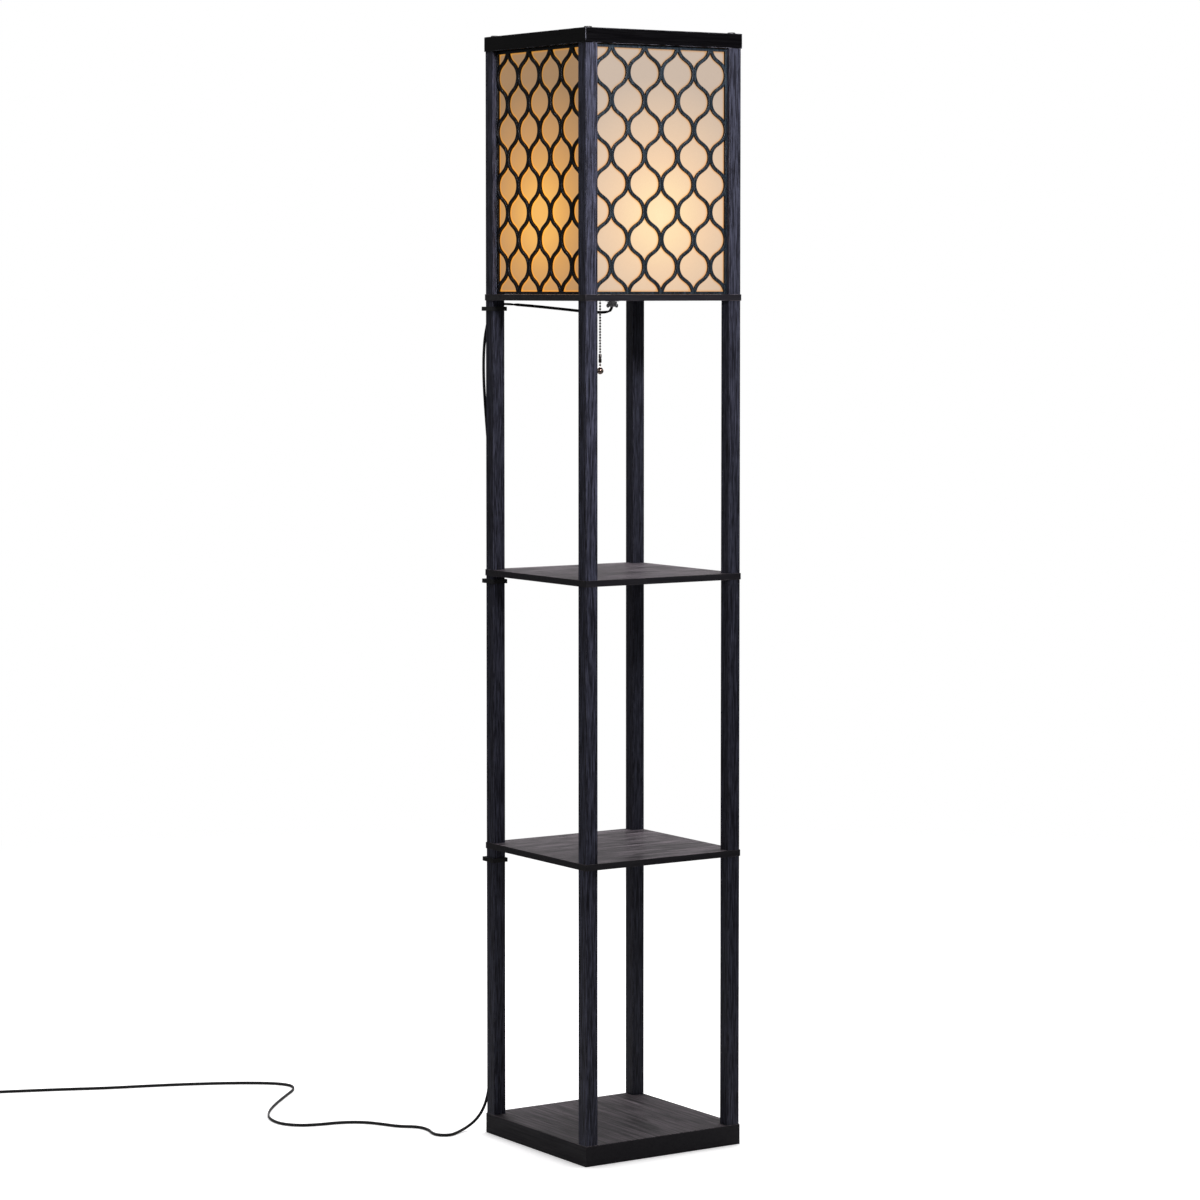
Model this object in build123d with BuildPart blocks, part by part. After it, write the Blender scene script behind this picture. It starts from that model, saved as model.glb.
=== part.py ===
"""A shelf floor lamp: a square four-tier stand with three open shelves and a lattice shade on top.

Millimetres, +Z up. The origin is the middle of the footprint, on the floor. The front is -Y and the
left is -X. The cord comes out under the shade floor, goes down the back-left post and across the floor.
"""

import math
import os

from build123d import *

os.makedirs("parts", exist_ok=True)

# ---------------------------------------------------------------- driving dimensions
board_side = 267.0  # outline of the base, the shelves, the shade floor and the top frame
base_height = 29.0
board_thickness = 9.0
bay_height = 391.0  # clear height of each open bay
shade_height = 350.0  # clear height of the shade, between its floor and the top frame
rail_height = 21.0
rail_width = 22.0
board_edge = 0.6  # chamfer

post_side = 20.0
post_inset = 1.0  # the boards stand out past the posts by this much
post_edge = 0.8  # chamfer

groove_inset = 6.5  # from a post's outer face to the lattice panel
groove_depth = 4.0
panel_clearance = 0.2  # round a panel and its diffuser, in their grooves
lattice_thickness = 4.0
diffuser_thickness = 0.8

lattice_columns = 4
lattice_rows = 9  # half periods, from the shade floor to the top frame
strip_width = 4.5
neck_width = 6.9  # where two strips run side by side
bend_angle = 57.2  # degrees from an opening's widest line round to its straight flank
border_top = 5.0
border_bottom = 4.0
border_side = 3.0
shoulder_share = 0.63  # of the bend angle, to the corner between an opening's widest line and its flank
shoulder_out = 0.5  # that corner stands off the arc by this, so that its two chords keep close to it

stud_diameter = 6.0
stud_clearance = 0.15  # all round
stud_reach = 12.0  # of a bolt or a stud, into a post
bore_depth = 14.0  # in a post's end
bore_sides = 8  # the bores and the studs in them are cut as this many flats
bolt_head_diameter = 12.0
bolt_head_height = 4.0
counterbore_diameter = 16.0
counterbore_depth = 14.0
cap_diameter = 11.5  # of the flat round caps on the top frame
cap_height = 2.0

nipple_diameter = 9.6
nipple_bore = 5.6
nipple_drop = 9.0  # below the shade floor's underside
nipple_clearance = 0.3
cord_seat = 7.0  # how far the cord reaches up into the nipple
washer_diameter = 20.0
washer_thickness = 1.2
nut_hub_diameter = 14.0
nut_hub_height = 6.4
nut_span = 20.0  # across the wings
wing_thickness = 1.8
# half of the nut, from its axis along the foot, round the drooping wing and back over the top: the distance
# out as a share of the span, and the level over the hub's foot as a share of its height
wing_outline = ((0.0, 0.0), (0.36, -0.27), (0.5, -0.38), (0.5, 0.19), (0.4, 0.56), (0.0, 0.9))

socket_diameter = 36.0
socket_height = 56.0
socket_foot_diameter = 22.0
socket_foot_height = 5.0
socket_shoulder = 20.0  # where the cone over the foot meets the barrel
socket_floor = 26.0  # up to the contact
socket_wall = 2.4
sleeve_wall = 0.8
sleeve_height = 26.0
contact_diameter = 8.0
contact_height = 2.0
screw_cap_diameter = 26.0
screw_cap_height = 22.0
screw_cap_clearance = 0.5
bulb_diameter = 60.0
bulb_neck_diameter = 24.0
bulb_length = 86.0  # of the glass, above the screw cap
neck_turn = 38.0  # degrees below the globe's widest line where the neck begins
bulb_tip_angle = 84.0  # the glass ends in a small flat above this
bulb_bands = 5  # of the neck, and of the globe
bulb_sides = 20
turned_sides = 16  # the small turned pieces are cut as this many flats
cap_button_height = 1.5
cap_shoulder = 5.5

chain_offset = 21.0  # from the lamp's axis to the chain, towards the left
chain_hole = 7.0
bead_diameter = 3.2
link_diameter = 1.3
bead_pitch = 4.2
bead_sides = 6
ferrule_diameter = 7.5
ferrule_bore = 4.6
ferrule_height = 10.0
ferrule_wall = 2.0  # over its bore
ferrule_level = 30.0  # of its mouth, above the shade floor
hinge_drop = 6.0  # from the shade floor's underside to the top of the swinging beads
connector_drop = 76.0  # from the shade floor's underside
connector_diameter = 4.4
connector_height = 13.0
connector_tip_diameter = 2.2
connector_gap = 0.6  # above the connector, where it swings on the chain's last link
connector_sides = 8
ball_diameter = 10.0
ball_sides = 12
ball_bands = 6
ball_drop = 101.0  # from the shade floor's underside to the ball's middle
chain_gap = 0.3

cord_diameter = 4.4
clip_height = 6.0
clip_wall = 2.4
clip_back_wall = 1.6
cord_sides = 5  # of the cord's section
bend_share = 0.45  # of the shorter run beside a corner of the cord's route, taken up by its arc
cord_room = 6.2  # between a post's back and a clip's back wall
clip_drop = {"lower": 13.0, "middle": 5.0, "upper": 9.0}  # below the board over each clip

coil_radius = 27.0  # of the outer half turn, to the cord's middle
coil_pitch = 5.0
coil_half_turns = 3
tail_radius = 14.0
tail_angle = 120.0
tail_level = 7.6  # of the tail's middle where it passes over the turns
tail_runs = (6.0, 15.0, 22.0)

plug_width = 25.0
plug_length = 24.0
plug_neck_length = 16.0
plug_neck_diameter = 7.0
plug_neck_sides = 8
plug_edge = 3.0  # chamfer along the body's four long edges
blade_length = 17.0
blade_width = 6.3
blade_thickness = 1.5
blade_gap = 12.7

# ---------------------------------------------------------------- levels and places
half = board_side / 2
post_middle = half - post_inset - post_side / 2
CORNERS = {"front_left": (-1, -1), "front_right": (1, -1), "back_right": (1, 1), "back_left": (-1, 1)}
BAYS = ("lower", "middle", "upper")
bay_floor = {bay: base_height + i * (bay_height + board_thickness) for i, bay in enumerate(BAYS)}
board_under = {bay: bay_floor[bay] + bay_height for bay in BAYS}  # the board over each bay
floor_under = board_under["upper"]  # the shade floor
floor_top = floor_under + board_thickness
rail_under = floor_top + shade_height
top_level = rail_under + rail_height
bore_radius = stud_diameter / 2 + stud_clearance


def finish(part, name):
    """Labels a finished sub-part and writes it."""
    part.label = name
    export_step(part, f"parts/{name}.step")


def faceted(rings, sides, x=0.0):
    """A closed solid round a vertical axis at x, through level polygons given as (height, radius) pairs."""
    corners = [math.tau * k / sides for k in range(sides)]
    loops = [[Vector(x + r * math.cos(a), r * math.sin(a), z) for a in corners] for z, r in rings]
    faces = [Face(Wire.make_polygon(loops[0])), Face(Wire.make_polygon(loops[-1]))]
    for low, high in zip(loops, loops[1:]):
        for k in range(sides):
            faces.append(Face(Wire.make_polygon([low[k - 1], low[k], high[k], high[k - 1]])))
    return Solid(Shell(faces))


def post_spots():
    """The middles of the four posts."""
    return GridLocations(2 * post_middle, 2 * post_middle, 2, 2)


# ---------------------------------------------------------------- base and boards
with BuildPart() as base_board:
    with BuildSketch():
        Rectangle(board_side, board_side)
    extrude(amount=base_height)
    chamfer(base_board.edges().filter_by(Axis.Z), board_edge)
    chamfer(base_board.faces().sort_by(Axis.Z)[-1].edges(), board_edge)
    with BuildSketch():
        with post_spots():
            RegularPolygon(counterbore_diameter / 2, bore_sides)
    extrude(amount=counterbore_depth, mode=Mode.SUBTRACT)
    with BuildSketch():
        with post_spots():
            RegularPolygon(bore_radius, bore_sides)
    extrude(amount=base_height, mode=Mode.SUBTRACT)
finish(base_board.part, "base_board")

for name, bay in (("lower_shelf", "lower"), ("middle_shelf", "middle"), ("shade_floor", "upper")):
    with BuildPart() as board:
        with BuildSketch(Plane.XY.offset(board_under[bay])):
            Rectangle(board_side, board_side)
        extrude(amount=board_thickness)
        chamfer(board.edges().filter_by(Axis.Z), board_edge)
        with BuildSketch(Plane.XY.offset(board_under[bay])):
            with post_spots():
                RegularPolygon(bore_radius, bore_sides)
        extrude(amount=board_thickness, mode=Mode.SUBTRACT)
        if name == "shade_floor":
            with Locations(board.faces().sort_by(Axis.Z)[-1]):
                Hole(nipple_diameter / 2 + nipple_clearance)
                with Locations((-chain_offset, 0)):
                    Hole(chain_hole / 2)
    finish(board.part, name)

# ---------------------------------------------------------------- posts
groove_width = lattice_thickness + diffuser_thickness + panel_clearance
groove_line = half - post_inset - groove_inset - groove_width / 2  # a groove's middle, from the axis
groove_mouth = post_middle - post_side / 2 + groove_depth / 2

tiers = {bay: (bay_floor[bay], bay_height) for bay in BAYS}
tiers["shade"] = (floor_top, shade_height)
for corner, (sx, sy) in CORNERS.items():
    for tier, (foot, length) in tiers.items():
        with BuildPart() as post:
            with BuildSketch(Plane.XY.offset(foot)):
                with Locations((sx * post_middle, sy * post_middle)):
                    Rectangle(post_side, post_side)
            extrude(amount=length)
            chamfer(post.edges().filter_by(Axis.Z), post_edge)
            for end, way in ((foot, 1), (foot + length, -1)):
                with BuildSketch(Plane.XY.offset(end)):
                    with Locations((sx * post_middle, sy * post_middle)):
                        RegularPolygon(bore_radius, bore_sides)
                extrude(amount=way * bore_depth, mode=Mode.SUBTRACT)
            if tier == "shade":
                # one groove opens along X, for the front or back panel, and one along Y, for a side panel
                with BuildSketch(Plane.XY.offset(foot)):
                    with Locations((sx * groove_mouth, sy * groove_line)):
                        Rectangle(groove_depth, groove_width)
                    with Locations((sx * groove_line, sy * groove_mouth)):
                        Rectangle(groove_width, groove_depth)
                extrude(amount=length, mode=Mode.SUBTRACT)
        finish(post.part, f"post_{corner}_{tier}")

# ---------------------------------------------------------------- top frame
# Four rails mitred at the corners, where each pair shares a bolt hole over the post.
SIDES = {"front": 0, "right": 90, "back": 180, "left": 270}
for side, turn in SIDES.items():
    with BuildPart() as rail:
        with BuildSketch(Plane.XY.offset(rail_under)):
            with BuildLine():
                Polyline(
                    (-half, -half),
                    (half, -half),
                    (half - rail_width, rail_width - half),
                    (rail_width - half, rail_width - half),
                    close=True,
                )
            make_face()
        extrude(amount=rail_height)
        chamfer(rail.faces().sort_by(Axis.Y)[0].edges().sort_by(Axis.Z)[-1], board_edge)
        with BuildSketch(Plane.XY.offset(rail_under)):
            with post_spots():
                RegularPolygon(bore_radius, bore_sides)
        extrude(amount=rail_height, mode=Mode.SUBTRACT)
    finish(rail.part.rotate(Axis.Z, turn), f"top_rail_{side}")

# ---------------------------------------------------------------- lattice panels
# Wavy strips that touch side by side: each opening is a pointed oval with an ogee flank. Its round side is an
# arc about (round_middle, 0). Its tip lies along the strip round the next opening, an arc about
# (tip_middle, rise). A straight flank joins the two, so the arcs' radius follows from the flank's angle.
opening_span = board_side - 2 * (post_inset + post_side)  # between two posts
column_pitch = opening_span / lattice_columns
rise = shade_height / lattice_rows  # from one row of openings to the next
flank_angle = math.radians(bend_angle)
overlap = column_pitch / 2 - neck_width
bend_radius = (rise * math.sin(flank_angle) - overlap * math.cos(flank_angle) - strip_width) / (
    2 * (1 - math.cos(flank_angle))
)
round_middle = (column_pitch - neck_width) / 2 - bend_radius
tip_middle = column_pitch / 2 - round_middle
tip_radius = bend_radius + strip_width
tip_angle = math.acos(min(1.0, tip_middle / tip_radius))


def opening_outline():
    """One opening's corners from its right side round: widest point, shoulder, flank's end, tip, and on."""
    quarter = []
    for a, r in ((0.0, bend_radius), (shoulder_share * flank_angle, bend_radius + shoulder_out)):
        quarter.append((round_middle + r * math.cos(a), r * math.sin(a)))
    for a in (flank_angle, tip_angle):
        quarter.append((tip_middle - tip_radius * math.cos(a), rise - tip_radius * math.sin(a)))
    upper = quarter + [(-x, y) for x, y in reversed(quarter[:-1])]
    return upper + [(-x, -y) for x, y in upper[1:-1]]


panel_width = opening_span + 2 * (groove_depth - panel_clearance)
panel_height = shade_height - 2 * panel_clearance
panel_face = half - post_inset - groove_inset  # the panel's outer face, from the axis
with BuildSketch() as openings:
    with BuildSketch(mode=Mode.PRIVATE) as opening:
        with BuildLine():
            Polyline(*opening_outline(), close=True)
        make_face()
    for row in range(lattice_rows + 1):
        # whole openings in the even rows, and half a column over in the odd ones
        shift = 0.5 if row % 2 else 0.0
        for column in range(lattice_columns + row % 2):
            x = (column - shift + 0.5 - lattice_columns / 2) * column_pitch
            with Locations((x, floor_top + row * rise)):
                add(opening.sketch)
    with Locations((0, floor_top + (shade_height + border_bottom - border_top) / 2)):
        Rectangle(
            opening_span - 2 * border_side,
            shade_height - border_top - border_bottom,
            mode=Mode.INTERSECT,
        )

for side, turn in SIDES.items():
    with BuildPart() as panel:
        with BuildSketch(Plane.XZ.offset(panel_face)):
            with Locations((0, floor_top + shade_height / 2)):
                Rectangle(panel_width, panel_height)
            add(openings.sketch, mode=Mode.SUBTRACT)
        extrude(amount=-lattice_thickness)
    finish(panel.part.rotate(Axis.Z, turn), f"lattice_{side}")
    with BuildPart() as diffuser:
        with BuildSketch(Plane.XZ.offset(panel_face - lattice_thickness)):
            with Locations((0, floor_top + shade_height / 2)):
                Rectangle(panel_width, panel_height)
        extrude(amount=-diffuser_thickness)
    finish(diffuser.part.rotate(Axis.Z, turn), f"diffuser_{side}")

# ---------------------------------------------------------------- bolts and studs
with BuildPart() as base_bolts:
    with BuildSketch(Plane.XY.offset(counterbore_depth - bolt_head_height)):
        with post_spots():
            RegularPolygon(bolt_head_diameter / 2, 6)
    extrude(amount=bolt_head_height)
    with BuildSketch(Plane.XY.offset(counterbore_depth)):
        with post_spots():
            RegularPolygon(stud_diameter / 2, bore_sides)
    extrude(amount=base_height - counterbore_depth + stud_reach)
finish(base_bolts.part, "base_bolts")

with BuildPart() as shelf_studs:
    for bay in BAYS:
        with BuildSketch(Plane.XY.offset(board_under[bay] - stud_reach)):
            with post_spots():
                RegularPolygon(stud_diameter / 2, bore_sides)
        extrude(amount=board_thickness + 2 * stud_reach)
finish(shelf_studs.part, "shelf_studs")

with BuildPart() as top_bolts:
    with BuildSketch(Plane.XY.offset(top_level)):
        with post_spots():
            RegularPolygon(cap_diameter / 2, turned_sides)
    extrude(amount=cap_height)
    with BuildSketch(Plane.XY.offset(rail_under - stud_reach)):
        with post_spots():
            RegularPolygon(stud_diameter / 2, bore_sides)
    extrude(amount=rail_height + stud_reach)
finish(top_bolts.part, "top_bolts")

# ---------------------------------------------------------------- socket, nipple and wing nut
contact_foot = floor_top + socket_floor
sleeve_bore = screw_cap_diameter / 2 + screw_cap_clearance
socket_rings = [
    (floor_top, socket_foot_diameter / 2),
    (floor_top + socket_foot_height, socket_foot_diameter / 2),
    (floor_top + socket_shoulder, socket_diameter / 2),
    (floor_top + socket_height, socket_diameter / 2),
]
with BuildPart() as socket_body:
    add(faceted(socket_rings, turned_sides))
    with BuildSketch(Plane.XY.offset(contact_foot)):
        RegularPolygon(socket_diameter / 2 - socket_wall, turned_sides)
    extrude(amount=socket_height - socket_floor, mode=Mode.SUBTRACT)
    with BuildSketch(Plane.XY.offset(floor_top)):
        RegularPolygon(nipple_diameter / 2, turned_sides)
    extrude(amount=socket_floor, mode=Mode.SUBTRACT)
finish(socket_body.part, "socket_body")

with BuildPart() as socket_sleeve:
    with BuildSketch(Plane.XY.offset(contact_foot)):
        RegularPolygon(sleeve_bore + sleeve_wall, turned_sides)
        RegularPolygon(sleeve_bore, turned_sides, mode=Mode.SUBTRACT)
    extrude(amount=sleeve_height)
finish(socket_sleeve.part, "socket_sleeve")

with BuildPart() as socket_nipple:
    with BuildSketch(Plane.XY.offset(floor_under - nipple_drop)):
        RegularPolygon(nipple_diameter / 2, turned_sides)
    extrude(amount=nipple_drop + board_thickness + socket_floor)
    with BuildSketch(Plane.XY.offset(floor_under - nipple_drop)):
        RegularPolygon(nipple_bore / 2, bore_sides)
    extrude(amount=cord_seat, mode=Mode.SUBTRACT)
finish(socket_nipple.part, "socket_nipple")

with BuildPart() as socket_contact:
    with BuildSketch(Plane.XY.offset(contact_foot)):
        RegularPolygon(contact_diameter / 2, bore_sides)
    extrude(amount=contact_height)
finish(socket_contact.part, "socket_contact")

with BuildPart() as nut_washer:
    with BuildSketch(Plane.XY.offset(floor_under - washer_thickness)):
        RegularPolygon(washer_diameter / 2, turned_sides)
        RegularPolygon(nipple_diameter / 2 + nipple_clearance, turned_sides, mode=Mode.SUBTRACT)
    extrude(amount=washer_thickness)
finish(nut_washer.part, "nut_washer")

nut_foot = floor_under - washer_thickness - chain_gap - nut_hub_height
with BuildPart() as wing_nut:
    with BuildSketch(Plane.XY.offset(nut_foot)):
        RegularPolygon(nut_hub_diameter / 2, turned_sides)
    extrude(amount=nut_hub_height)
    for way in (1, -1):
        with BuildSketch(Plane.XZ):
            with BuildLine():
                wing = [(way * out * nut_span, nut_foot + up * nut_hub_height) for out, up in wing_outline]
                Polyline(*wing, close=True)
            make_face()
        extrude(amount=wing_thickness / 2, both=True)
    with BuildSketch(Plane.XY.offset(nut_foot)):
        Circle(nipple_diameter / 2 + nipple_clearance)
    extrude(amount=nut_hub_height, both=True, mode=Mode.SUBTRACT)
finish(wing_nut.part, "wing_nut")

# ---------------------------------------------------------------- bulb
cap_foot = contact_foot + contact_height + chain_gap
cap_rim = cap_foot + screw_cap_height
cap_rings = [
    (cap_foot, contact_diameter / 2),
    (cap_foot + cap_button_height, contact_diameter / 2),
    (cap_foot + cap_shoulder, screw_cap_diameter / 2),
    (cap_rim, screw_cap_diameter / 2),
]
finish(faceted(cap_rings, turned_sides), "bulb_base")

# The glass is a globe that narrows along an S curve to the neck in the screw cap.
globe_radius = bulb_diameter / 2
globe_middle = cap_rim + bulb_length - globe_radius
leave = math.radians(neck_turn)
leave_radius, leave_level = globe_radius * math.cos(leave), globe_middle - globe_radius * math.sin(leave)
glass_rings = [(cap_rim, bulb_neck_diameter / 2)]
for i in range(1, bulb_bands):
    t = i / bulb_bands
    swell = t * t * (3 - 2 * t) * (1 - t) + t * t
    glass_rings.append(
        (cap_rim + (leave_level - cap_rim) * t, bulb_neck_diameter / 2 * (1 - swell) + leave_radius * swell)
    )
for i in range(bulb_bands + 1):
    a = -leave + (leave + math.radians(bulb_tip_angle)) * i / bulb_bands
    glass_rings.append((globe_middle + globe_radius * math.sin(a), globe_radius * math.cos(a)))
finish(faceted(glass_rings, bulb_sides), "bulb_glass")


# ---------------------------------------------------------------- pull chain
def bead_string(top, foot):
    """Beads from top to foot: a belly at each bead and a thin link between two."""
    count = round((top - foot) / bead_pitch)
    step = (top - foot) / count / 2
    bellies = (link_diameter / 2, bead_diameter / 2)
    rings = [(foot + i * step, bellies[i % 2]) for i in range(2 * count + 1)]
    return faceted(rings, bead_sides, -chain_offset)


ferrule_foot = floor_top + ferrule_level
hinge_level = floor_under - hinge_drop
with BuildPart() as chain_ferrule:
    with BuildSketch(Plane.XY.offset(ferrule_foot)):
        with Locations((-chain_offset, 0)):
            RegularPolygon(ferrule_diameter / 2, bore_sides)
    extrude(amount=ferrule_height)
    with BuildSketch(Plane.XY.offset(ferrule_foot)):
        with Locations((-chain_offset, 0)):
            RegularPolygon(ferrule_bore / 2, bore_sides)
    extrude(amount=ferrule_height - ferrule_wall, mode=Mode.SUBTRACT)
    with BuildSketch(Plane.XY.offset(ferrule_foot)):
        RegularPolygon(socket_diameter / 2, turned_sides)
    extrude(amount=ferrule_height, mode=Mode.SUBTRACT)
finish(chain_ferrule.part, "chain_ferrule")

finish(bead_string(ferrule_foot + ferrule_height / 2, hinge_level + chain_gap / 2), "pull_chain")
finish(bead_string(hinge_level - chain_gap / 2, floor_under - connector_drop), "hanging_chain")

connector_top = floor_under - connector_drop - connector_gap
connector_foot = connector_top - connector_height
connector_taper = (connector_diameter - connector_tip_diameter) / 2
connector_rings = [
    (connector_foot, connector_tip_diameter / 2),
    (connector_foot + connector_taper, connector_diameter / 2),
    (connector_top - connector_taper, connector_diameter / 2),
    (connector_top, connector_tip_diameter / 2),
]
finish(faceted(connector_rings, connector_sides, -chain_offset), "chain_connector")

# The ball hangs from the connector on the chain's last link.
ball_middle = floor_under - ball_drop
neck_angle = math.asin(link_diameter / ball_diameter)
ball_rings = []
for i in range(ball_bands + 1):
    a = math.pi - neck_angle - (math.pi - 2 * neck_angle) * i / ball_bands
    ball_rings.append((ball_middle + ball_diameter / 2 * math.cos(a), ball_diameter / 2 * math.sin(a)))
ball_rings.append((connector_foot, link_diameter / 2))
finish(faceted(ball_rings, ball_sides, -chain_offset), "chain_ball")

# ---------------------------------------------------------------- cord clips
# Square rings round the back-left post, with room behind it for the cord.
left, front = (sign * post_middle for sign in CORNERS["back_left"])
for bay in BAYS:
    with BuildPart() as clip:
        with BuildSketch(Plane.XY.offset(board_under[bay] - clip_drop[bay] - clip_height)):
            with Locations((left, front - post_side / 2 - clip_wall)):
                Rectangle(
                    post_side + 2 * clip_wall,
                    post_side + clip_wall + cord_room + clip_back_wall,
                    align=(Align.CENTER, Align.MIN),
                )
            with Locations((left, front - post_side / 2)):
                Rectangle(
                    post_side,
                    post_side + cord_room,
                    align=(Align.CENTER, Align.MIN),
                    mode=Mode.SUBTRACT,
                )
        extrude(amount=clip_height)
        chamfer(clip.edges().filter_by(Axis.Z).group_by(SortBy.DISTANCE)[-1], board_edge)
    finish(clip.part, f"cord_clip_{bay}")

# ---------------------------------------------------------------- cord
# The route's points, chosen by hand: out of the nipple, to the back-left post, down it and over the floor.
on_floor = cord_diameter / 2
under_shade = [
    (0.0, 0.0, 1218.0),
    (0.0, 0.0, 1205.5),
    (-8.5, 8.7, 1202.6),
    (-25.0, 25.5, 1203.6),
    (-52.0, 51.5, 1207.6),
    (-82.0, 79.5, 1211.8),
    (-103.8, 104.0, 1214.4),
    (-106.0, 126.0, 1214.9),
    (-110.5, 136.6, 1214.9),
    (-119.5, 136.5, 1213.2),
    (-123.0, 136.1, 1204.0),
    (-125.5, 138.5, 1188.0),
]
down_post = [
    (-129.5, 141.8, 1160.0),
    (-130.5, 142.5, 1112.0),
    (-127.5, 140.2, 1050.0),
    (-123.6, 136.6, 984.0),
    (-124.2, 136.2, 900.0),
    (-123.0, 136.4, 812.0),
    (-125.0, 137.2, 712.0),
    (-126.2, 137.6, 600.0),
    (-123.6, 136.7, 490.0),
    (-122.6, 136.2, 404.0),
    (-124.6, 137.0, 310.0),
    (-126.2, 137.4, 216.0),
    (-125.0, 136.7, 138.0),
    (-124.2, 137.0, 88.0),
    (-125.0, 140.5, 56.0),
    (-128.5, 149.0, 30.0),
    (-138.0, 157.0, 12.5),
]
over_floor = [
    (-156.0, 156.5, 3.6),
    (-177.0, 145.0, on_floor),
    (-192.0, 137.5, on_floor),
    (-206.0, 145.0, on_floor),
    (-208.5, 161.5, on_floor),
    (-200.0, 186.0, on_floor),
    (-203.0, 211.0, on_floor),
    (-226.0, 228.0, on_floor),
    (-238.0, 254.0, on_floor),
    (-254.0, 281.0, on_floor),
    (-283.0, 299.0, on_floor),
    (-318.0, 304.0, on_floor),
    (-347.0, 315.0, on_floor),
    (-364.0, 342.0, on_floor),
    (-361.0, 380.0, on_floor),
    (-342.0, 418.0, on_floor),
    (-308.0, 460.0, on_floor),
    (-262.0, 508.0, on_floor),
    (-228.0, 542.0, on_floor),
    (-219.0, 570.0, on_floor),
    (-237.0, 599.0, on_floor),
    (-285.0, 632.0, on_floor),
    (-340.0, 660.0, on_floor),
    (-404.0, 686.0, on_floor),
    (-470.0, 709.0, on_floor),
    (-535.0, 740.0, on_floor),
    (-598.0, 766.0, on_floor),
    (-642.0, 784.0, on_floor),
]
coil_start = (-672.0, 797.0, on_floor)


def corner_radii(points):
    """Each inner point's arc: its share of the shorter run beside it, over the tangent of half the turn."""
    radii = []
    for a, b, c in zip(points, points[1:], points[2:]):
        run_in, run_out = Vector(*b) - Vector(*a), Vector(*c) - Vector(*b)
        half_turn = math.radians(run_in.get_angle(run_out)) / 2
        radii.append(bend_share * min(run_in.length, run_out.length) / math.tan(half_turn))
    return radii


def middle(a, b):
    """The point halfway along a run, where one stretch of the cord ends and the next starts."""
    return tuple((p + q) / 2 for p, q in zip(a, b))


def sweep_cord(path, name):
    """One stretch of the cord: its section swept along its path, with its volume checked."""
    with BuildPart() as stretch:
        with BuildSketch(Plane(origin=path @ 0, z_dir=path % 0)) as section:
            RegularPolygon(cord_diameter / 2, cord_sides)
        sweep(path=path)
    share = stretch.part.volume / (section.sketch.area * path.length)
    print(f"{name}: {path.length:.0f} mm long, volume {share:.4f} of its section times its length")
    finish(stretch.part, name)
    return path.length


route = under_shade + down_post + over_floor + [coil_start]
radii = corner_radii(route)
print("arc radii:", ", ".join(f"{r:.0f}" for r in radii))
cord_length = 0.0
first = 0
for name, points in (
    ("cord_under_shade", under_shade),
    ("cord_down_post", down_post),
    ("cord_on_floor", over_floor),
):
    last = first + len(points)
    start = [] if first == 0 else [middle(route[first - 1], route[first])]
    end = [coil_start] if last == len(route) - 1 else [middle(route[last - 1], route[last])]
    inner = radii[max(first - 1, 0) : last - 1]
    stretch_path = FilletPolyline(*start, *points, *end, radius=inner, mode=Mode.PRIVATE)
    cord_length += sweep_cord(Wire(stretch_path.edges()), name)
    first = last

# The put-away length: a flat spiral of half turns that starts in line with the last run on the floor. Its
# tail turns across the middle, climbs, passes over the turns and ends in the plug.
arrive = (Vector(*coil_start) - Vector(*over_floor[-1])).normalized()
coil_plane = Plane(
    origin=Vector(*coil_start) + Vector(-arrive.Y, arrive.X, 0) * coil_radius,
    x_dir=Vector(arrive.Y, -arrive.X, 0),
    z_dir=(0, 0, 1),
)
middles, turn_radii = [0.0], [coil_radius - i * coil_pitch / 2 for i in range(coil_half_turns)]
for i in range(1, coil_half_turns):
    middles.append(middles[-1] + (-1 if i % 2 else 1) * coil_pitch / 2)
inner_end = -turn_radii[-1] + middles[-1]
tail_middle = inner_end + tail_radius
tail_end = math.radians(180 + tail_angle)
tail_foot = (tail_middle + tail_radius * math.cos(tail_end), tail_radius * math.sin(tail_end))
tail_way = (-math.sin(tail_end), math.cos(tail_end))


def along_tail(run, level):
    """A point of the tail, this far past the end of its bend and this high over the turns' middles."""
    return coil_plane.from_local_coords(
        Vector(tail_foot[0] + tail_way[0] * run, tail_foot[1] + tail_way[1] * run, level)
    )


tail_climb = tail_level - on_floor
reach = [sum(tail_runs[: i + 1]) for i in range(len(tail_runs))]
tail_points = [
    along_tail(0, 0),
    along_tail(reach[0], 0),
    along_tail(reach[1], tail_climb),
    along_tail(reach[2], tail_climb),
]
tail_radii = corner_radii([tuple(p) for p in tail_points])
with BuildLine(coil_plane) as coil_line:
    for i, (middle_x, radius) in enumerate(zip(middles, turn_radii)):
        CenterArc((middle_x, 0), radius, 180 * (i % 2), 180)
    CenterArc((tail_middle, 0), tail_radius, 180, tail_angle)
coil_edges = list(coil_line.line.edges())
tail_edges = list(FilletPolyline(*tail_points, radius=tail_radii, mode=Mode.PRIVATE).edges())
coil_path = Wire(coil_edges + tail_edges)
cord_length += sweep_cord(coil_path, "cord_coil")
print("tail radii:", ", ".join(f"{r:.0f}" for r in tail_radii))
samples = 400
near = 3 * cord_diameter  # spots nearer than this along the cord aren't compared
spots = [coil_path @ (i / samples) for i in range(samples + 1)]
apart = int(near / coil_path.length * samples)
gaps = [(p - q).length for i, p in enumerate(spots) for q in spots[i + apart :]]
print(f"least gap of the coil to itself: {min(gaps) - cord_diameter:.2f} mm")
print(f"whole cord: {cord_length:.0f} mm")

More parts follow.
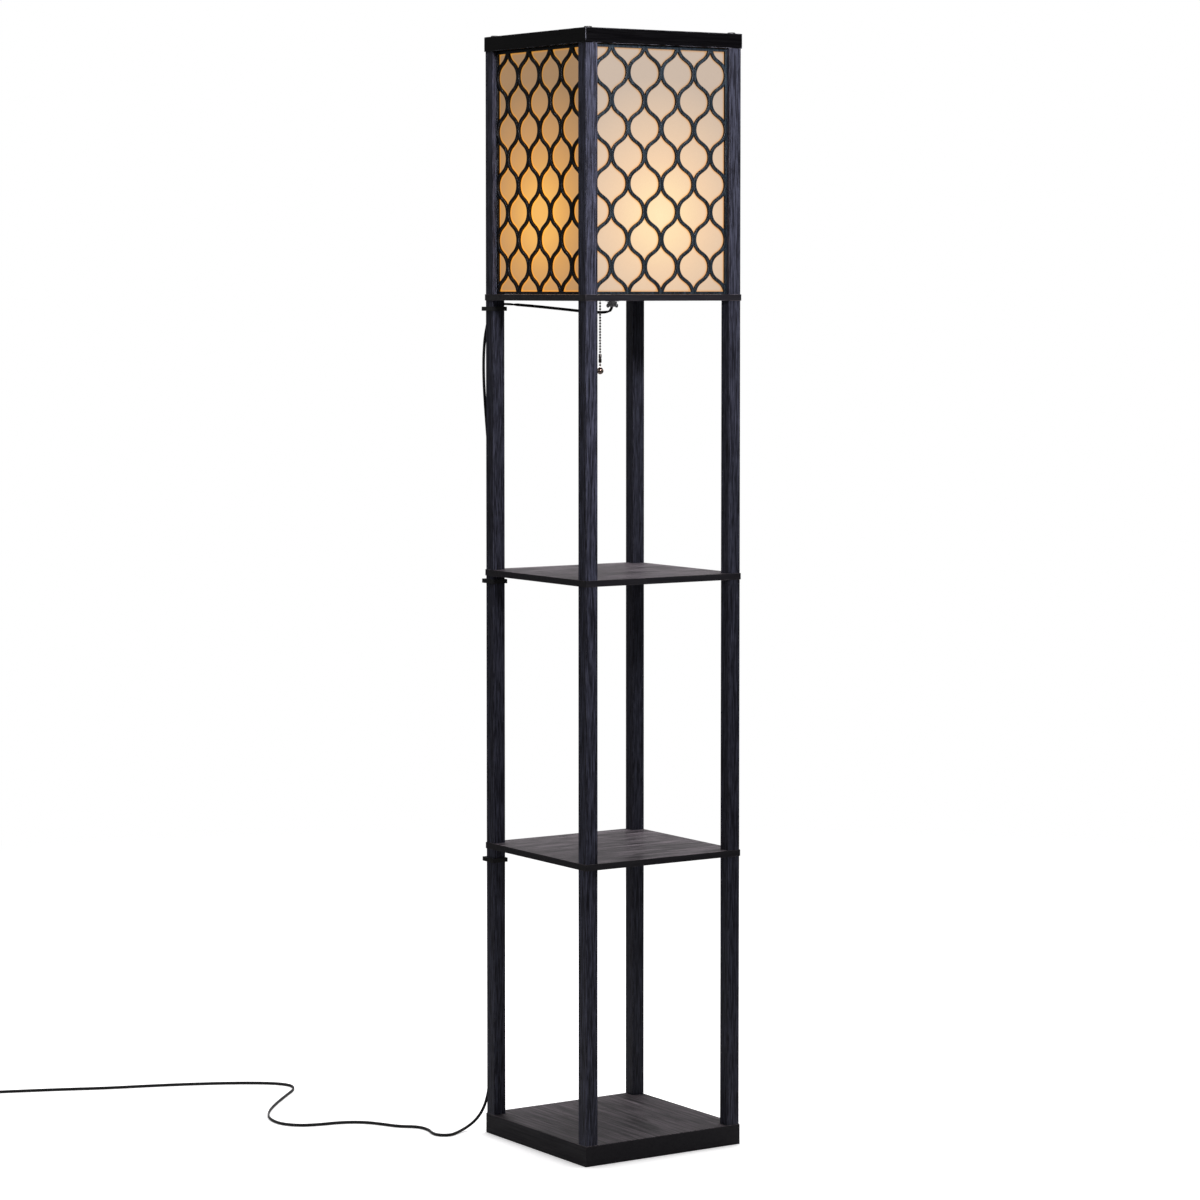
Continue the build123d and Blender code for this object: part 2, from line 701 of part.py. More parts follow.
# ---------------------------------------------------------------- plug
plug_start = tail_points[-1]
plug_axis = (tail_points[-1] - tail_points[-2]).normalized()
plug_plane = Plane(origin=plug_start, z_dir=plug_axis, x_dir=(-plug_axis.Y, plug_axis.X, 0))
plug_thickness = 2 * tail_level
with BuildPart() as plug_body:
    with BuildSketch(plug_plane):
        RegularPolygon(plug_neck_diameter / 2, plug_neck_sides)
    extrude(amount=plug_neck_length)
    with BuildSketch(plug_plane.offset(plug_neck_length)):
        Rectangle(plug_width, plug_thickness)
    extrude(amount=plug_length)
    long_edges = plug_body.edges().filter_by(Axis(plug_start, plug_axis)).sort_by(SortBy.LENGTH)[-4:]
    chamfer(long_edges, plug_edge)
finish(plug_body.part, "plug_body")

with BuildPart() as plug_blades:
    with BuildSketch(plug_plane.offset(plug_neck_length + plug_length)):
        with GridLocations(blade_gap, 0, 2, 1):
            Rectangle(blade_thickness, blade_width)
    extrude(amount=blade_length)
finish(plug_blades.part, "plug_blades")
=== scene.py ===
# %% [markdown]
# # A shelf floor lamp
# The stand is four slim posts with three open shelves, and a square shade of fretwork panels sits on top. The
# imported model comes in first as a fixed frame. Its pieces already have their real size and place, so this
# script gives them their finishes and models again only what a plain solid can't show.

# %% Load the frame
import math

import bpy
from mathutils import Matrix, Vector


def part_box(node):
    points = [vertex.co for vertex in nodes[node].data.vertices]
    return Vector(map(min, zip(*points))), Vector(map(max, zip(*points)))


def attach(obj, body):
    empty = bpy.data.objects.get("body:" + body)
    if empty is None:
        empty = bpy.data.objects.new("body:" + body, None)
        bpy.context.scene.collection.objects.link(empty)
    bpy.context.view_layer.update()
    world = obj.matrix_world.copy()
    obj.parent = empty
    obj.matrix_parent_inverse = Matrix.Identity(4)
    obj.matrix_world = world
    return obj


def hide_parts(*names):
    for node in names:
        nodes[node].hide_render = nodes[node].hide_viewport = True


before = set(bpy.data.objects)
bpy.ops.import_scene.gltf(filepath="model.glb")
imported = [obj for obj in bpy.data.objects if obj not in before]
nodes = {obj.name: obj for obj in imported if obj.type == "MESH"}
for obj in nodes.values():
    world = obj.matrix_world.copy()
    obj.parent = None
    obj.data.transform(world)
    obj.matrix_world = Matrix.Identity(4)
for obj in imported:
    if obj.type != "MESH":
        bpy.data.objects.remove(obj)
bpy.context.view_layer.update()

MM = 0.001

# %% [markdown]
# ## The camera
# The lamp was photographed from its front-left corner, at chest height, with a long lens. The lens, place and
# heading below are real measures: metres, degrees and millimetres. The camera looks almost level, and the
# lens is shifted a little to frame the whole height, as a product photographer does to keep posts upright.

# %% Camera
CAMERA_PLACE = (-3.0158, -4.5220, 1.2400)
CAMERA_HEADING = -33.514  # degrees, anticlockwise from +Y
CAMERA_DIP = 3.121  # degrees below level
LENS = 112.983
VERTICAL_SHIFT = -0.09

camera_data = bpy.data.cameras.new("camera")
camera_data.lens = LENS
camera_data.sensor_width = 36.0
camera_data.shift_y = VERTICAL_SHIFT
camera = bpy.data.objects.new("camera", camera_data)
camera.location = CAMERA_PLACE
camera.rotation_euler = (math.radians(90 - CAMERA_DIP), 0, math.radians(CAMERA_HEADING))
bpy.context.scene.collection.objects.link(camera)
bpy.context.scene.camera = camera
print("camera:", LENS, "mm lens at", CAMERA_PLACE)

# %% [markdown]
# ## The power cord
# The cord leaves the nipple under the shade, crosses to the back-left post, drops behind it through three
# clips and wanders over the floor. It is flat twin lead: two round cores side by side in one skin. A flat
# lead bends only across its thin side, so it lies flat down the post and stands on edge through its curves on
# the floor. A curve's own bevel can't be told that, so the section is swept by hand here.
#
# The points below are the corners of the route, in metres, and a NURBS curve rounds them. Its end is put away
# just past the left edge of the view: three half turns of a flat spiral, whose tail passes over the turns to
# the plug.

# %% The cord's route
CORD_WIDTH = 4.4 * MM
CORD_THICKNESS = 2.7 * MM
ON_FLOOR = CORD_WIDTH / 2

UNDER_SHADE = [
    (0.0000, 0.0000, 1.2180), (0.0000, 0.0000, 1.2055), (-0.0085, 0.0087, 1.2026),
    (-0.0250, 0.0255, 1.2036), (-0.0520, 0.0515, 1.2076), (-0.0820, 0.0795, 1.2118),
    (-0.1038, 0.1040, 1.2144), (-0.1060, 0.1260, 1.2149), (-0.1105, 0.1366, 1.2149),
    (-0.1195, 0.1365, 1.2132), (-0.1230, 0.1361, 1.2040), (-0.1255, 0.1385, 1.1880),
]
DOWN_POST = [
    (-0.1295, 0.1418, 1.1600), (-0.1305, 0.1425, 1.1120), (-0.1275, 0.1402, 1.0500),
    (-0.1236, 0.1366, 0.9840), (-0.1242, 0.1362, 0.9000), (-0.1230, 0.1364, 0.8120),
    (-0.1250, 0.1372, 0.7120), (-0.1262, 0.1376, 0.6000), (-0.1236, 0.1367, 0.4900),
    (-0.1226, 0.1362, 0.4040), (-0.1246, 0.1370, 0.3100), (-0.1262, 0.1374, 0.2160),
    (-0.1250, 0.1367, 0.1380), (-0.1242, 0.1370, 0.0880), (-0.1250, 0.1405, 0.0560),
    (-0.1285, 0.1490, 0.0300), (-0.1380, 0.1570, 0.0125), (-0.1560, 0.1565, 0.0036),
]
OVER_FLOOR = [
    (-0.1770, 0.1450), (-0.1920, 0.1375), (-0.2060, 0.1450), (-0.2085, 0.1615), (-0.2000, 0.1860),
    (-0.2030, 0.2110), (-0.2260, 0.2280), (-0.2380, 0.2540), (-0.2540, 0.2810), (-0.2830, 0.2990),
    (-0.3180, 0.3040), (-0.3470, 0.3150), (-0.3640, 0.3420), (-0.3610, 0.3800), (-0.3420, 0.4180),
    (-0.3080, 0.4600), (-0.2620, 0.5080), (-0.2280, 0.5420), (-0.2190, 0.5700), (-0.2370, 0.5990),
    (-0.2850, 0.6320), (-0.3400, 0.6600), (-0.4040, 0.6860), (-0.4700, 0.7090), (-0.5350, 0.7400),
    (-0.5980, 0.7660), (-0.6420, 0.7840),
]
COIL_START = Vector((-0.6720, 0.7970, ON_FLOOR))

# %% The coil that is put away
COIL_RADII = [27 * MM, 24.5 * MM, 22 * MM]  # one for each half turn
COIL_MIDDLES = [0.0, -2.5 * MM, 0.0]  # along the line through both ends of each half turn
TAIL_RADIUS, TAIL_MIDDLE, TAIL_TURN = 14 * MM, -8 * MM, 120  # the turn in degrees
TAIL_RUNS = [(6 * MM, 0.0), (21 * MM, 5.4 * MM), (43 * MM, 5.4 * MM)]  # how far on, and how high
POINTS_PER_HALF_TURN, TAIL_POINTS = 8, 6

arrival = (COIL_START - Vector((*OVER_FLOOR[-1], ON_FLOOR))).normalized()
across = Vector((arrival.y, -arrival.x, 0))
coil_middle = COIL_START - across * COIL_RADII[0]


def in_coil(x, y, z=0.0):
    """A place given in the coil's own plane, as a point of the lamp's frame."""
    return coil_middle + across * x + arrival * y + Vector((0, 0, z))


def arc_corners(middle, radius, start, turn, count):
    """Control points whose curve keeps to an arc: they stand a little outside it."""
    outside = radius / math.cos(math.radians(turn / count / 2))
    angles = [math.radians(start + turn * (i + 0.5) / count) for i in range(count)]
    return [in_coil(middle + outside * math.cos(a), outside * math.sin(a)) for a in angles]


coil = []
for i, (middle, radius) in enumerate(zip(COIL_MIDDLES, COIL_RADII)):
    coil += arc_corners(middle, radius, 180 * (i % 2), 180, POINTS_PER_HALF_TURN)
coil += arc_corners(TAIL_MIDDLE, TAIL_RADIUS, 180, TAIL_TURN, TAIL_POINTS)
tail_end = math.radians(180 + TAIL_TURN)
for along, rise in [(0.0, 0.0)] + TAIL_RUNS:
    x = TAIL_MIDDLE + TAIL_RADIUS * math.cos(tail_end) - math.sin(tail_end) * along
    y = TAIL_RADIUS * math.sin(tail_end) + math.cos(tail_end) * along
    coil.append(in_coil(x, y, rise))

route = [Vector(p) for p in UNDER_SHADE + DOWN_POST]
route += [Vector((x, y, ON_FLOOR)) for x, y in OVER_FLOOR]
route += coil
print("cord route:", len(route), "points")


# %% Read the smooth line from the route
def smooth_line(points, name):
    """The NURBS curve through a route, as a list of points along it."""
    curve = bpy.data.curves.new(name, "CURVE")
    curve.dimensions = "3D"
    curve.resolution_u = 8
    spline = curve.splines.new("NURBS")
    spline.points.add(len(points) - 1)
    for point, place in zip(spline.points, points):
        point.co = (*place, 1.0)
    spline.order_u = 3
    spline.use_endpoint_u = True
    holder = bpy.data.objects.new(name, curve)
    mesh = bpy.data.meshes.new_from_object(holder)
    line = [v.co.copy() for v in mesh.vertices]
    bpy.data.objects.remove(holder)
    bpy.data.meshes.remove(mesh)
    return line


cord_line = smooth_line(route, "cord_route")
cord_length = sum((b - a).length for a, b in zip(cord_line, cord_line[1:]))
print(f"cord: {cord_length:.3f} m along {len(cord_line)} points")


# %% Sweep the twin lead
CORE_ARC = 236  # degrees of each round core that stand clear of the groove
# From this height, and over this much more, it turns from its edge to flat.
FLAT_FROM, FLAT_OVER = 12 * MM, 50 * MM
# Above this height it crosses to the post where it is near the middle and not steep, and hangs elsewhere.
UNDER_SHADE_LEVEL, CROSSING_REACH, STEEP = 1195 * MM, 100 * MM, -0.6
CROSSING_FACES, HANGING_FACES = Vector((-0.4, -1.0, 0.6)), Vector((0, 1, 0.3))
TWIST_RATE = 0.35  # the share of a twist that each next point takes on


def twin_section(width, thickness, steps=7):
    """The outline of two round cores side by side, with a groove along each broad side."""
    core = thickness / 2
    middle = width / 2 - core
    outline = []
    for side, half_turn in ((1, 0), (-1, math.pi)):
        for i in range(steps):
            a = math.radians(CORE_ARC * (i / (steps - 1) - 0.5)) + half_turn
            outline.append((side * middle + core * math.cos(a), core * math.sin(a)))
    return outline


def broad_side(point, tangent):
    """Where the lead's broad side faces: away from the post, and level once it is on the floor."""
    on_post = min(1.0, max(0.0, (point.z - FLAT_FROM) / FLAT_OVER))
    facing = Vector((0, on_post, 0)) + tangent.cross(Vector((0, 0, 1))) * (1 - on_post)
    if point.z > UNDER_SHADE_LEVEL:
        crossing = tangent.z > STEEP and abs(point.x) < CROSSING_REACH
        facing = CROSSING_FACES if crossing else HANGING_FACES
    return (facing - tangent * facing.dot(tangent)).normalized()


def sweep(name, line, outline):
    """A closed mesh tube: the outline carried along the line."""
    verts, faces = [], []
    count = len(outline)
    facing = None
    for i, point in enumerate(line):
        tangent = (line[min(i + 1, len(line) - 1)] - line[max(i - 1, 0)]).normalized()
        wanted = broad_side(point, tangent)
        facing = wanted if facing is None else facing.lerp(wanted, TWIST_RATE)
        facing = (facing - tangent * facing.dot(tangent)).normalized()
        side = tangent.cross(facing)
        verts += [point + side * x + facing * y for x, y in outline]
    for i in range(len(line) - 1):
        for k in range(count):
            a, b = i * count + k, i * count + (k + 1) % count
            faces.append((a, b, b + count, a + count))
    faces.append(tuple(reversed(range(count))))
    faces.append(tuple(range((len(line) - 1) * count, len(line) * count)))
    mesh = bpy.data.meshes.new(name)
    mesh.from_pydata(verts, [], faces)
    mesh.update()
    piece = bpy.data.objects.new(name, mesh)
    bpy.context.scene.collection.objects.link(piece)
    return piece


cord = sweep("power_cord", cord_line, twin_section(CORD_WIDTH, CORD_THICKNESS))
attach(cord, "frame")
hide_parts("cord_under_shade", "cord_down_post", "cord_on_floor", "cord_coil")
print("cord:", len(cord.data.polygons), "faces")

# %% [markdown]
# ## Floor and light
# The lamp stands on a plain pale floor that fades into a white surround. A broad softbox overhead lights the
# shelves' tops, one at the front gives the posts their bluish faces, and two behind keep the far sides from
# going black. The left side stays dim, so that the shade's own warm light shows there. A backdrop that curves
# up would do as well, but a floor that fades away shows no bend from any side.

# %% Helpers for node trees
WHITE = (1.0, 1.0, 1.0, 1.0)


def srgb(red, green, blue):
    """A screen colour, 0 to 255, as the linear colour that a shader takes."""
    def channel(value):
        value /= 255
        return value / 12.92 if value <= 0.04045 else ((value + 0.055) / 1.055) ** 2.4

    return (channel(red), channel(green), channel(blue), 1.0)


def feed(tree, node, inputs):
    """Sets a node's inputs, each to a value or an output. A node stands for its own first output."""
    for name, given in inputs.items():
        if isinstance(given, bpy.types.Node):
            given = given.outputs[0]
        if isinstance(given, bpy.types.NodeSocket):
            tree.links.new(given, node.inputs[name])
        else:
            node.inputs[name].default_value = given


def add_node(tree, kind, inputs=None, **settings):
    """A shader node with its settings and inputs. Its kind is Blender's name for it without ShaderNode."""
    node = tree.nodes.new("ShaderNode" + kind)
    for name, value in settings.items():
        setattr(node, name, value)
    feed(tree, node, inputs or {})
    return node


def new_material(name):
    """A new material with its node tree and its Principled shader."""
    material = bpy.data.materials.new(name)
    material.use_nodes = True
    tree = material.node_tree
    return material, tree, next(n for n in tree.nodes if n.type == "BSDF_PRINCIPLED")


# %% Floor
# Near the lamp it is lit paint, lifted to white apart from a narrow contact shadow. Further out it fades to
# pure white. The light that it sheds on the lamp is much dimmer than what the camera sees.
FLOOR_SIDE, JUST_UNDER = 24.0, -0.2 * MM
bpy.ops.mesh.primitive_plane_add(size=FLOOR_SIDE, location=(0, 0, JUST_UNDER))
floor = bpy.context.object
floor.name = "floor"
floor_paint = bpy.data.materials.new("pale_floor")
floor_paint.use_nodes = True
tree = floor_paint.node_tree
tree.nodes.clear()
where = add_node(tree, "TexCoord").outputs["Object"]
distance = add_node(tree, "VectorMath", {0: where}, operation="LENGTH").outputs["Value"]
fade = add_node(
    tree, "MapRange", {"Value": distance, "From Min": 1.1, "From Max": 3.2}, interpolation_type="SMOOTHSTEP"
)
contact = add_node(tree, "AmbientOcclusion", {"Distance": 25 * MM}, samples=8)
paint = add_node(tree, "BsdfDiffuse", {"Color": (0.93, 0.93, 0.94, 1)})
lift = add_node(tree, "Emission", {"Color": contact, "Strength": 0.66})
near = add_node(tree, "AddShader", {0: paint, 1: lift})
far = add_node(tree, "Emission", {"Color": WHITE, "Strength": 1.0})
seen = add_node(tree, "MixShader", {"Fac": fade, 1: near, 2: far})
bright = add_node(
    tree, "MapRange", {"Value": distance, "From Min": 0.3, "From Max": 1.6, "To Min": 0.6, "To Max": 0.08}
)
shed = add_node(tree, "BsdfDiffuse", {"Color": bright})
ray = add_node(tree, "LightPath")
choice = add_node(tree, "MixShader", {"Fac": ray.outputs["Is Camera Ray"], 1: shed, 2: seen})
add_node(tree, "OutputMaterial", {"Surface": choice})
floor.data.materials.append(floor_paint)
print("floor:", FLOOR_SIDE, "m square")

# %% Surround
# The camera sees a white surround, while the light that it sheds on the lamp is much dimmer. Reflections see
# it at about a fifth of its strength, which gives board tops their sheen at a low angle and keeps the metals
# from looking black.
bpy.context.scene.view_settings.view_transform = "Standard"
world = bpy.data.worlds.new("surround")
bpy.context.scene.world = world
world.use_nodes = True
tree = world.node_tree
tree.nodes.clear()
ray = add_node(tree, "LightPath")
seen = add_node(tree, "Background", {"Color": WHITE, "Strength": 1.0})
shed = add_node(tree, "Background", {"Color": (0.97, 0.96, 1.0, 1), "Strength": 0.13})
mirrored = add_node(tree, "Background", {"Color": WHITE, "Strength": 0.22})
other = add_node(tree, "MixShader", {"Fac": ray.outputs["Is Glossy Ray"], 1: shed, 2: mirrored})
mix = add_node(tree, "MixShader", {"Fac": ray.outputs["Is Camera Ray"], 1: other, 2: seen})
add_node(tree, "OutputWorld", {"Surface": mix})
print("surround:", world.name)


# %% Softboxes
def softbox(name, place, target, size, power, colour, spread=180):
    """A square area light that faces a target. A narrow spread keeps its light near the target."""
    data = bpy.data.lights.new(name, "AREA")
    data.spread = math.radians(spread)
    data.size = size
    data.energy = power
    data.color = colour
    lamp = bpy.data.objects.new(name, data)
    lamp.location = place
    lamp.rotation_euler = (Vector(target) - Vector(place)).to_track_quat("-Z", "Y").to_euler()
    lamp.visible_camera = False
    bpy.context.scene.collection.objects.link(lamp)


softbox("overhead", (0.5, 0.3, 4.4), (0, 0, 0), size=3.0, power=150, colour=(1.0, 0.98, 0.97))
softbox(
    "front", (-0.35, -2.0, 2.1), (-0.1, 0, 1.75), size=0.5, power=6.6, colour=(0.94, 0.93, 1.0),
    spread=66,
)
softbox("back_right", (3.6, 2.2, 2.0), (0, 0, 0.9), size=2.0, power=17, colour=(0.95, 0.97, 1.0))
softbox("back", (0.55, 3.4, 1.8), (-0.1, 0, 0.6), size=1.2, power=20, colour=(1.0, 0.98, 1.0))
print("lights:", len(bpy.data.lights))

# %% [markdown]
# ## Effects that several finishes share
# The finishes here share a few things: streaks of grain, edges that have lost a little of their surface, and
# a breath of dust. Each is a node group with named sockets, built once and given its own values in each
# material.


# %% A helper for node groups
def new_group(name, inputs, outputs):
    """An empty shader group. An input is a name and a default, and one without a default takes a vector."""
    group = bpy.data.node_groups.new(name, "ShaderNodeTree")
    for label, default in inputs.items():
        kind = "NodeSocketVector" if default is None else "NodeSocketFloat"
        socket = group.interface.new_socket(label, in_out="INPUT", socket_type=kind)
        if default is not None:
            socket.default_value = default
    for label in outputs:
        group.interface.new_socket(label, in_out="OUTPUT", socket_type="NodeSocketFloat")
    given, result = group.nodes.new("NodeGroupInput"), group.nodes.new("NodeGroupOutput")
    return group, given.outputs, result


# %% Grain
grain_group, given, result = new_group(
    "grain", {"Vector": None, "Fineness": 700.0, "Stretch": 0.02}, ["Streaks", "Pores", "Figure"]
)
tree = grain_group
stretch = add_node(tree, "CombineXYZ", {"X": 1.0, "Y": 1.0, "Z": given["Stretch"]})
long_way = add_node(tree, "VectorMath", {0: given["Vector"], 1: stretch}, operation="MULTIPLY")
streaks = add_node(tree, "TexNoise", {
    "Vector": long_way, "Scale": given["Fineness"], "Detail": 5.0, "Roughness": 0.62, "Distortion": 0.15,
})
crisp = add_node(tree, "MapRange", {"Value": streaks, "From Min": 0.42, "From Max": 0.62})
finer = add_node(tree, "Math", {0: given["Fineness"], 1: 2.3}, operation="MULTIPLY")
pores = add_node(tree, "TexNoise", {"Vector": long_way, "Scale": finer, "Detail": 2.0, "Roughness": 0.5})
deep = add_node(tree, "MapRange", {"Value": pores, "From Min": 0.56, "From Max": 0.66})
figure = add_node(tree, "TexNoise", {"Vector": long_way, "Scale": 26.0, "Detail": 3.0, "Distortion": 0.8})
feed(tree, result, {"Streaks": crisp, "Pores": deep, "Figure": figure})

# %% Edge wear
# A bright rubbed-edge colour on this mask also serves as a painted highlight, as on the top frame's rails.
wear_group, given, result = new_group("edge_wear", {"Width": 1.2 * MM, "Breakup": 60.0}, ["Wear"])
tree = wear_group
where = add_node(tree, "TexCoord").outputs["Object"]
eased_normal = add_node(tree, "Bevel", {"Radius": given["Width"]}, samples=4)
true_normal = add_node(tree, "NewGeometry")
turned_away = add_node(
    tree, "VectorMath", {0: eased_normal, 1: true_normal.outputs["Normal"]}, operation="DOT_PRODUCT"
).outputs["Value"]
edge = add_node(tree, "MapRange", {"Value": turned_away, "From Min": 0.995, "From Max": 0.82})
patches = add_node(tree, "TexNoise", {"Vector": where, "Scale": given["Breakup"], "Detail": 4.0})
wear_and_highlight = add_node(tree, "MapRange", {"Value": patches, "From Min": 0.42, "From Max": 0.62})
both = add_node(tree, "Math", {0: edge, 1: wear_and_highlight}, operation="MULTIPLY")
feed(tree, result, {"Wear": both})

# %% Dust
dust_group, given, result = new_group("dust", {"Amount": 0.3}, ["Dust"])
tree = dust_group
where = add_node(tree, "TexCoord").outputs["Object"]
facing = add_node(tree, "NewGeometry")
split = add_node(tree, "SeparateXYZ", {"Vector": facing.outputs["Normal"]})
level = add_node(tree, "MapRange", {"Value": split.outputs["Z"], "From Min": 0.6, "From Max": 1.0})
specks = add_node(tree, "TexNoise", {"Vector": where, "Scale": 900.0, "Detail": 3.0, "Roughness": 0.7})
few = add_node(tree, "MapRange", {"Value": specks, "From Min": 0.5, "From Max": 0.8})
lying = add_node(tree, "Math", {0: level, 1: few}, operation="MULTIPLY")
amount = add_node(tree, "Math", {0: lying, 1: given["Amount"]}, operation="MULTIPLY")
feed(tree, result, {"Dust": amount})
print("groups:", [group.name for group in (grain_group, wear_group, dust_group)])

# %% [markdown]
# ## Stained wood
# Posts, boards and the top frame are wood under a black stain that settles in the pores and lets a blue-grey
# streak of grain show. One function makes all of them: what changes is the way the grain runs, the two
# colours and the gloss. The grain is a stretched noise on Object coordinates, turned by a Mapping node to run
# along the piece. A Wave texture gives streaks too, but they are too even for a porous wood.

# %% A stained wood for any direction
PORE_SHADE = 0.45  # how dark a pore is beside the stain round it
DUST_COLOUR = srgb(150, 148, 150)


def mix_colours(tree, factor, low, high, blend="MIX"):
    """The output of a mix of two colours. The factor and each colour are a value, an output or a node."""
    mix = add_node(tree, "Mix", data_type="RGBA", blend_type=blend)
    feed(tree, mix, {"Factor": factor})
    for name, colour in (("A", low), ("B", high)):
        slot = next(i for i, s in enumerate(mix.inputs) if s.name == name and s.type == "RGBA")
        feed(tree, mix, {slot: colour})
    return next(s for s in mix.outputs if s.type == "RGBA")


def stained_wood(
    name, along, dark, light, wear_and_highlight, rough=0.5, fineness=420.0, stretch=0.035, bump=0.25, dust=0.15,
    gloss=0.35, banding=None
):
    """Black-stained wood whose grain runs along an axis. Its edges can have a banding of another colour."""
    material, tree, shader = new_material(name)
    where = add_node(tree, "TexCoord").outputs["Object"]
    turn = {"Z": (0, 0, 0), "X": (0, math.pi / 2, 0), "Y": (math.pi / 2, 0, 0)}[along]
    laid = add_node(tree, "Mapping", {"Vector": where, "Rotation": turn})
    grain = add_node(
        tree, "Group", {"Vector": laid, "Fineness": fineness, "Stretch": stretch}, node_tree=grain_group
    ).outputs
    wear = add_node(tree, "Group", node_tree=wear_group)
    lint = add_node(tree, "Group", {"Amount": dust}, node_tree=dust_group)
    colour = mix_colours(tree, grain["Streaks"], dark, light)
    shade = add_node(tree, "MapRange", {"Value": grain["Figure"], "To Min": 0.0, "To Max": 0.55})
    colour = mix_colours(tree, shade, colour, dark)
    colour = mix_colours(tree, grain["Pores"], colour, (*(PORE_SHADE * c for c in dark[:3]), 1))
    if banding:
        normal = add_node(tree, "NewGeometry")
        split = add_node(tree, "SeparateXYZ", {"Vector": normal.outputs["Normal"]})
        level = add_node(tree, "Math", {0: split.outputs["Z"]}, operation="ABSOLUTE")
        upright = add_node(tree, "MapRange", {"Value": level, "From Min": 0.6, "From Max": 0.4})
        colour = mix_colours(tree, upright, colour, banding)
    colour = mix_colours(tree, wear, colour, wear_and_highlight)
    colour = mix_colours(tree, lint, colour, DUST_COLOUR)
    polish = add_node(
        tree, "MapRange", {"Value": grain["Streaks"], "To Min": rough - 0.08, "To Max": rough + 0.14}
    )
    height = add_node(tree, "Math", {0: grain["Pores"], 1: -0.8, 2: 0.5}, operation="MULTIPLY_ADD")
    total = add_node(tree, "Math", {0: height, 1: grain["Streaks"]}, operation="ADD")
    relief = add_node(tree, "Bump", {"Strength": bump, "Distance": 0.3 * MM, "Height": total})
    feed(tree, shader, {
        "Base Color": colour, "Roughness": polish, "Normal": relief, "Specular IOR Level": gloss,
    })
    return material


# %% The woods of this lamp
POST_DARK, POST_WORN = srgb(34, 34, 43), srgb(120, 120, 132)
# Each corner's posts have their own copy of the stain, lighter at the front-left where the front light falls
# and darker towards the back-right: painted light and shade.
post_streaks_shaded_by_corner = {
    "front_left": srgb(112, 114, 136), "back_left": srgb(100, 102, 120),
    "front_right": srgb(98, 100, 118), "back_right": srgb(88, 90, 106),
}
post_woods = {
    corner: stained_wood(f"stained_{corner}", "Z", POST_DARK, light, POST_WORN, fineness=640.0, gloss=0.2)
    for corner, light in post_streaks_shaded_by_corner.items()
}
shelf_wood = stained_wood(
    "shelf_board", "X", srgb(66, 60, 65), srgb(164, 152, 161), srgb(120, 112, 116), rough=0.40,
    fineness=190.0, stretch=0.07, gloss=0.5, banding=srgb(36, 34, 40),
)
base_wood = stained_wood(
    "base_block", "Y", srgb(46, 42, 46), srgb(132, 122, 129), srgb(84, 82, 88), fineness=210.0, gloss=0.25,
    banding=srgb(40, 38, 43),
)
# The rails' rubbed edges are near white beside their black stain: partly wear, and partly a painted highlight
# where the corners catch the light.
rail_wood = {
    way: stained_wood(
        f"top_frame_{way.lower()}", way, srgb(6, 5, 7), srgb(13, 12, 14), srgb(150, 150, 160),
        rough=0.30, fineness=300.0, bump=0.08, gloss=0.1,
    )
    for way in ("X", "Y")
}
print("woods:", 2 + len(post_woods) + len(rail_wood))


# %% Give the wooden pieces their finish
def finish_node(name, material):
    """A CAD node keeps its shape and gets a material."""
    node = nodes[name]
    node.data.materials.clear()
    node.data.materials.append(material)
    print("finished:", name, "with", material.name)


for corner, wood in post_woods.items():
    for tier in ("lower", "middle", "upper", "shade"):
        finish_node(f"post_{corner}_{tier}", wood)
for name in ("lower_shelf", "middle_shelf", "shade_floor"):
    finish_node(name, shelf_wood)
finish_node("base_board", base_wood)
for side, way in (("front", "X"), ("back", "X"), ("left", "Y"), ("right", "Y")):
    finish_node(f"top_rail_{side}", rail_wood[way])

# %% [markdown]
# ## The fretwork panels
# Each side of the shade is one sheet cut into wavy strips that touch side by side, so that the openings are
# pointed ovals. The strips follow arcs, joined by straight flanks. A flat curve suits a sheet cut like this:
# its outer spline is the sheet and each inner spline is an opening, and the curve's own extrude and bevel
# give the sheet its thickness and its softly rounded cut edges. The openings at the border are cut off by a
# narrow frame.

# %% The panel's measures
SPAN = 225 * MM  # between two posts
SHADE_FLOOR = 1229 * MM
SHADE_HEIGHT = 350 * MM
COLUMNS, ROWS = 4, 9
STRIP, NECK = 4.5 * MM, 6.9 * MM
FLANK = math.radians(57.2)
BORDER_TOP, BORDER_BOTTOM, BORDER_SIDE = 5 * MM, 4 * MM, 3 * MM
EASED_EDGE = 0.35 * MM

pitch = SPAN / COLUMNS
rise = SHADE_HEIGHT / ROWS
bend = (rise * math.sin(FLANK) - (pitch / 2 - NECK) * math.cos(FLANK) - STRIP) / (2 * (1 - math.cos(FLANK)))
round_middle = (pitch - NECK) / 2 - bend
tip_middle = pitch / 2 - round_middle
tip_radius = bend + STRIP
tip_angle = math.acos(min(1.0, tip_middle / tip_radius))
print(f"strips: bends of {bend / MM:.1f} mm, {pitch / MM:.2f} mm from column to column")


# %% One opening
def arc_points(middle_x, middle_y, radius, start, end, steps):
    """Points along an arc, both ends included."""
    angles = [start + (end - start) * i / steps for i in range(steps + 1)]
    return [(middle_x + radius * math.cos(a), middle_y + radius * math.sin(a)) for a in angles]


def opening_outline():
    """An opening round its own middle: a round side, a flank and a tip, and the same three more times."""
    quarter = arc_points(round_middle, 0, bend, 0, FLANK, 7)
    quarter += arc_points(tip_middle, rise, tip_radius, math.pi + FLANK, math.pi + tip_angle, 3)
    upper = quarter + [(-x, y) for x, y in reversed(quarter[:-1])]
    return upper + [(-x, -y) for x, y in upper[1:-1]]


def clipped(points, axis, limit, sign):
    """The part of an outline on one side of a line across an axis."""
    kept = []
    for a, b in zip(points, points[1:] + points[:1]):
        over_a, over_b = sign * (a[axis] - limit), sign * (b[axis] - limit)
        if over_a <= 0:
            kept.append(a)
        if over_a * over_b < 0:
            t = over_a / (over_a - over_b)
            kept.append(tuple(p + (q - p) * t for p, q in zip(a, b)))
    return kept


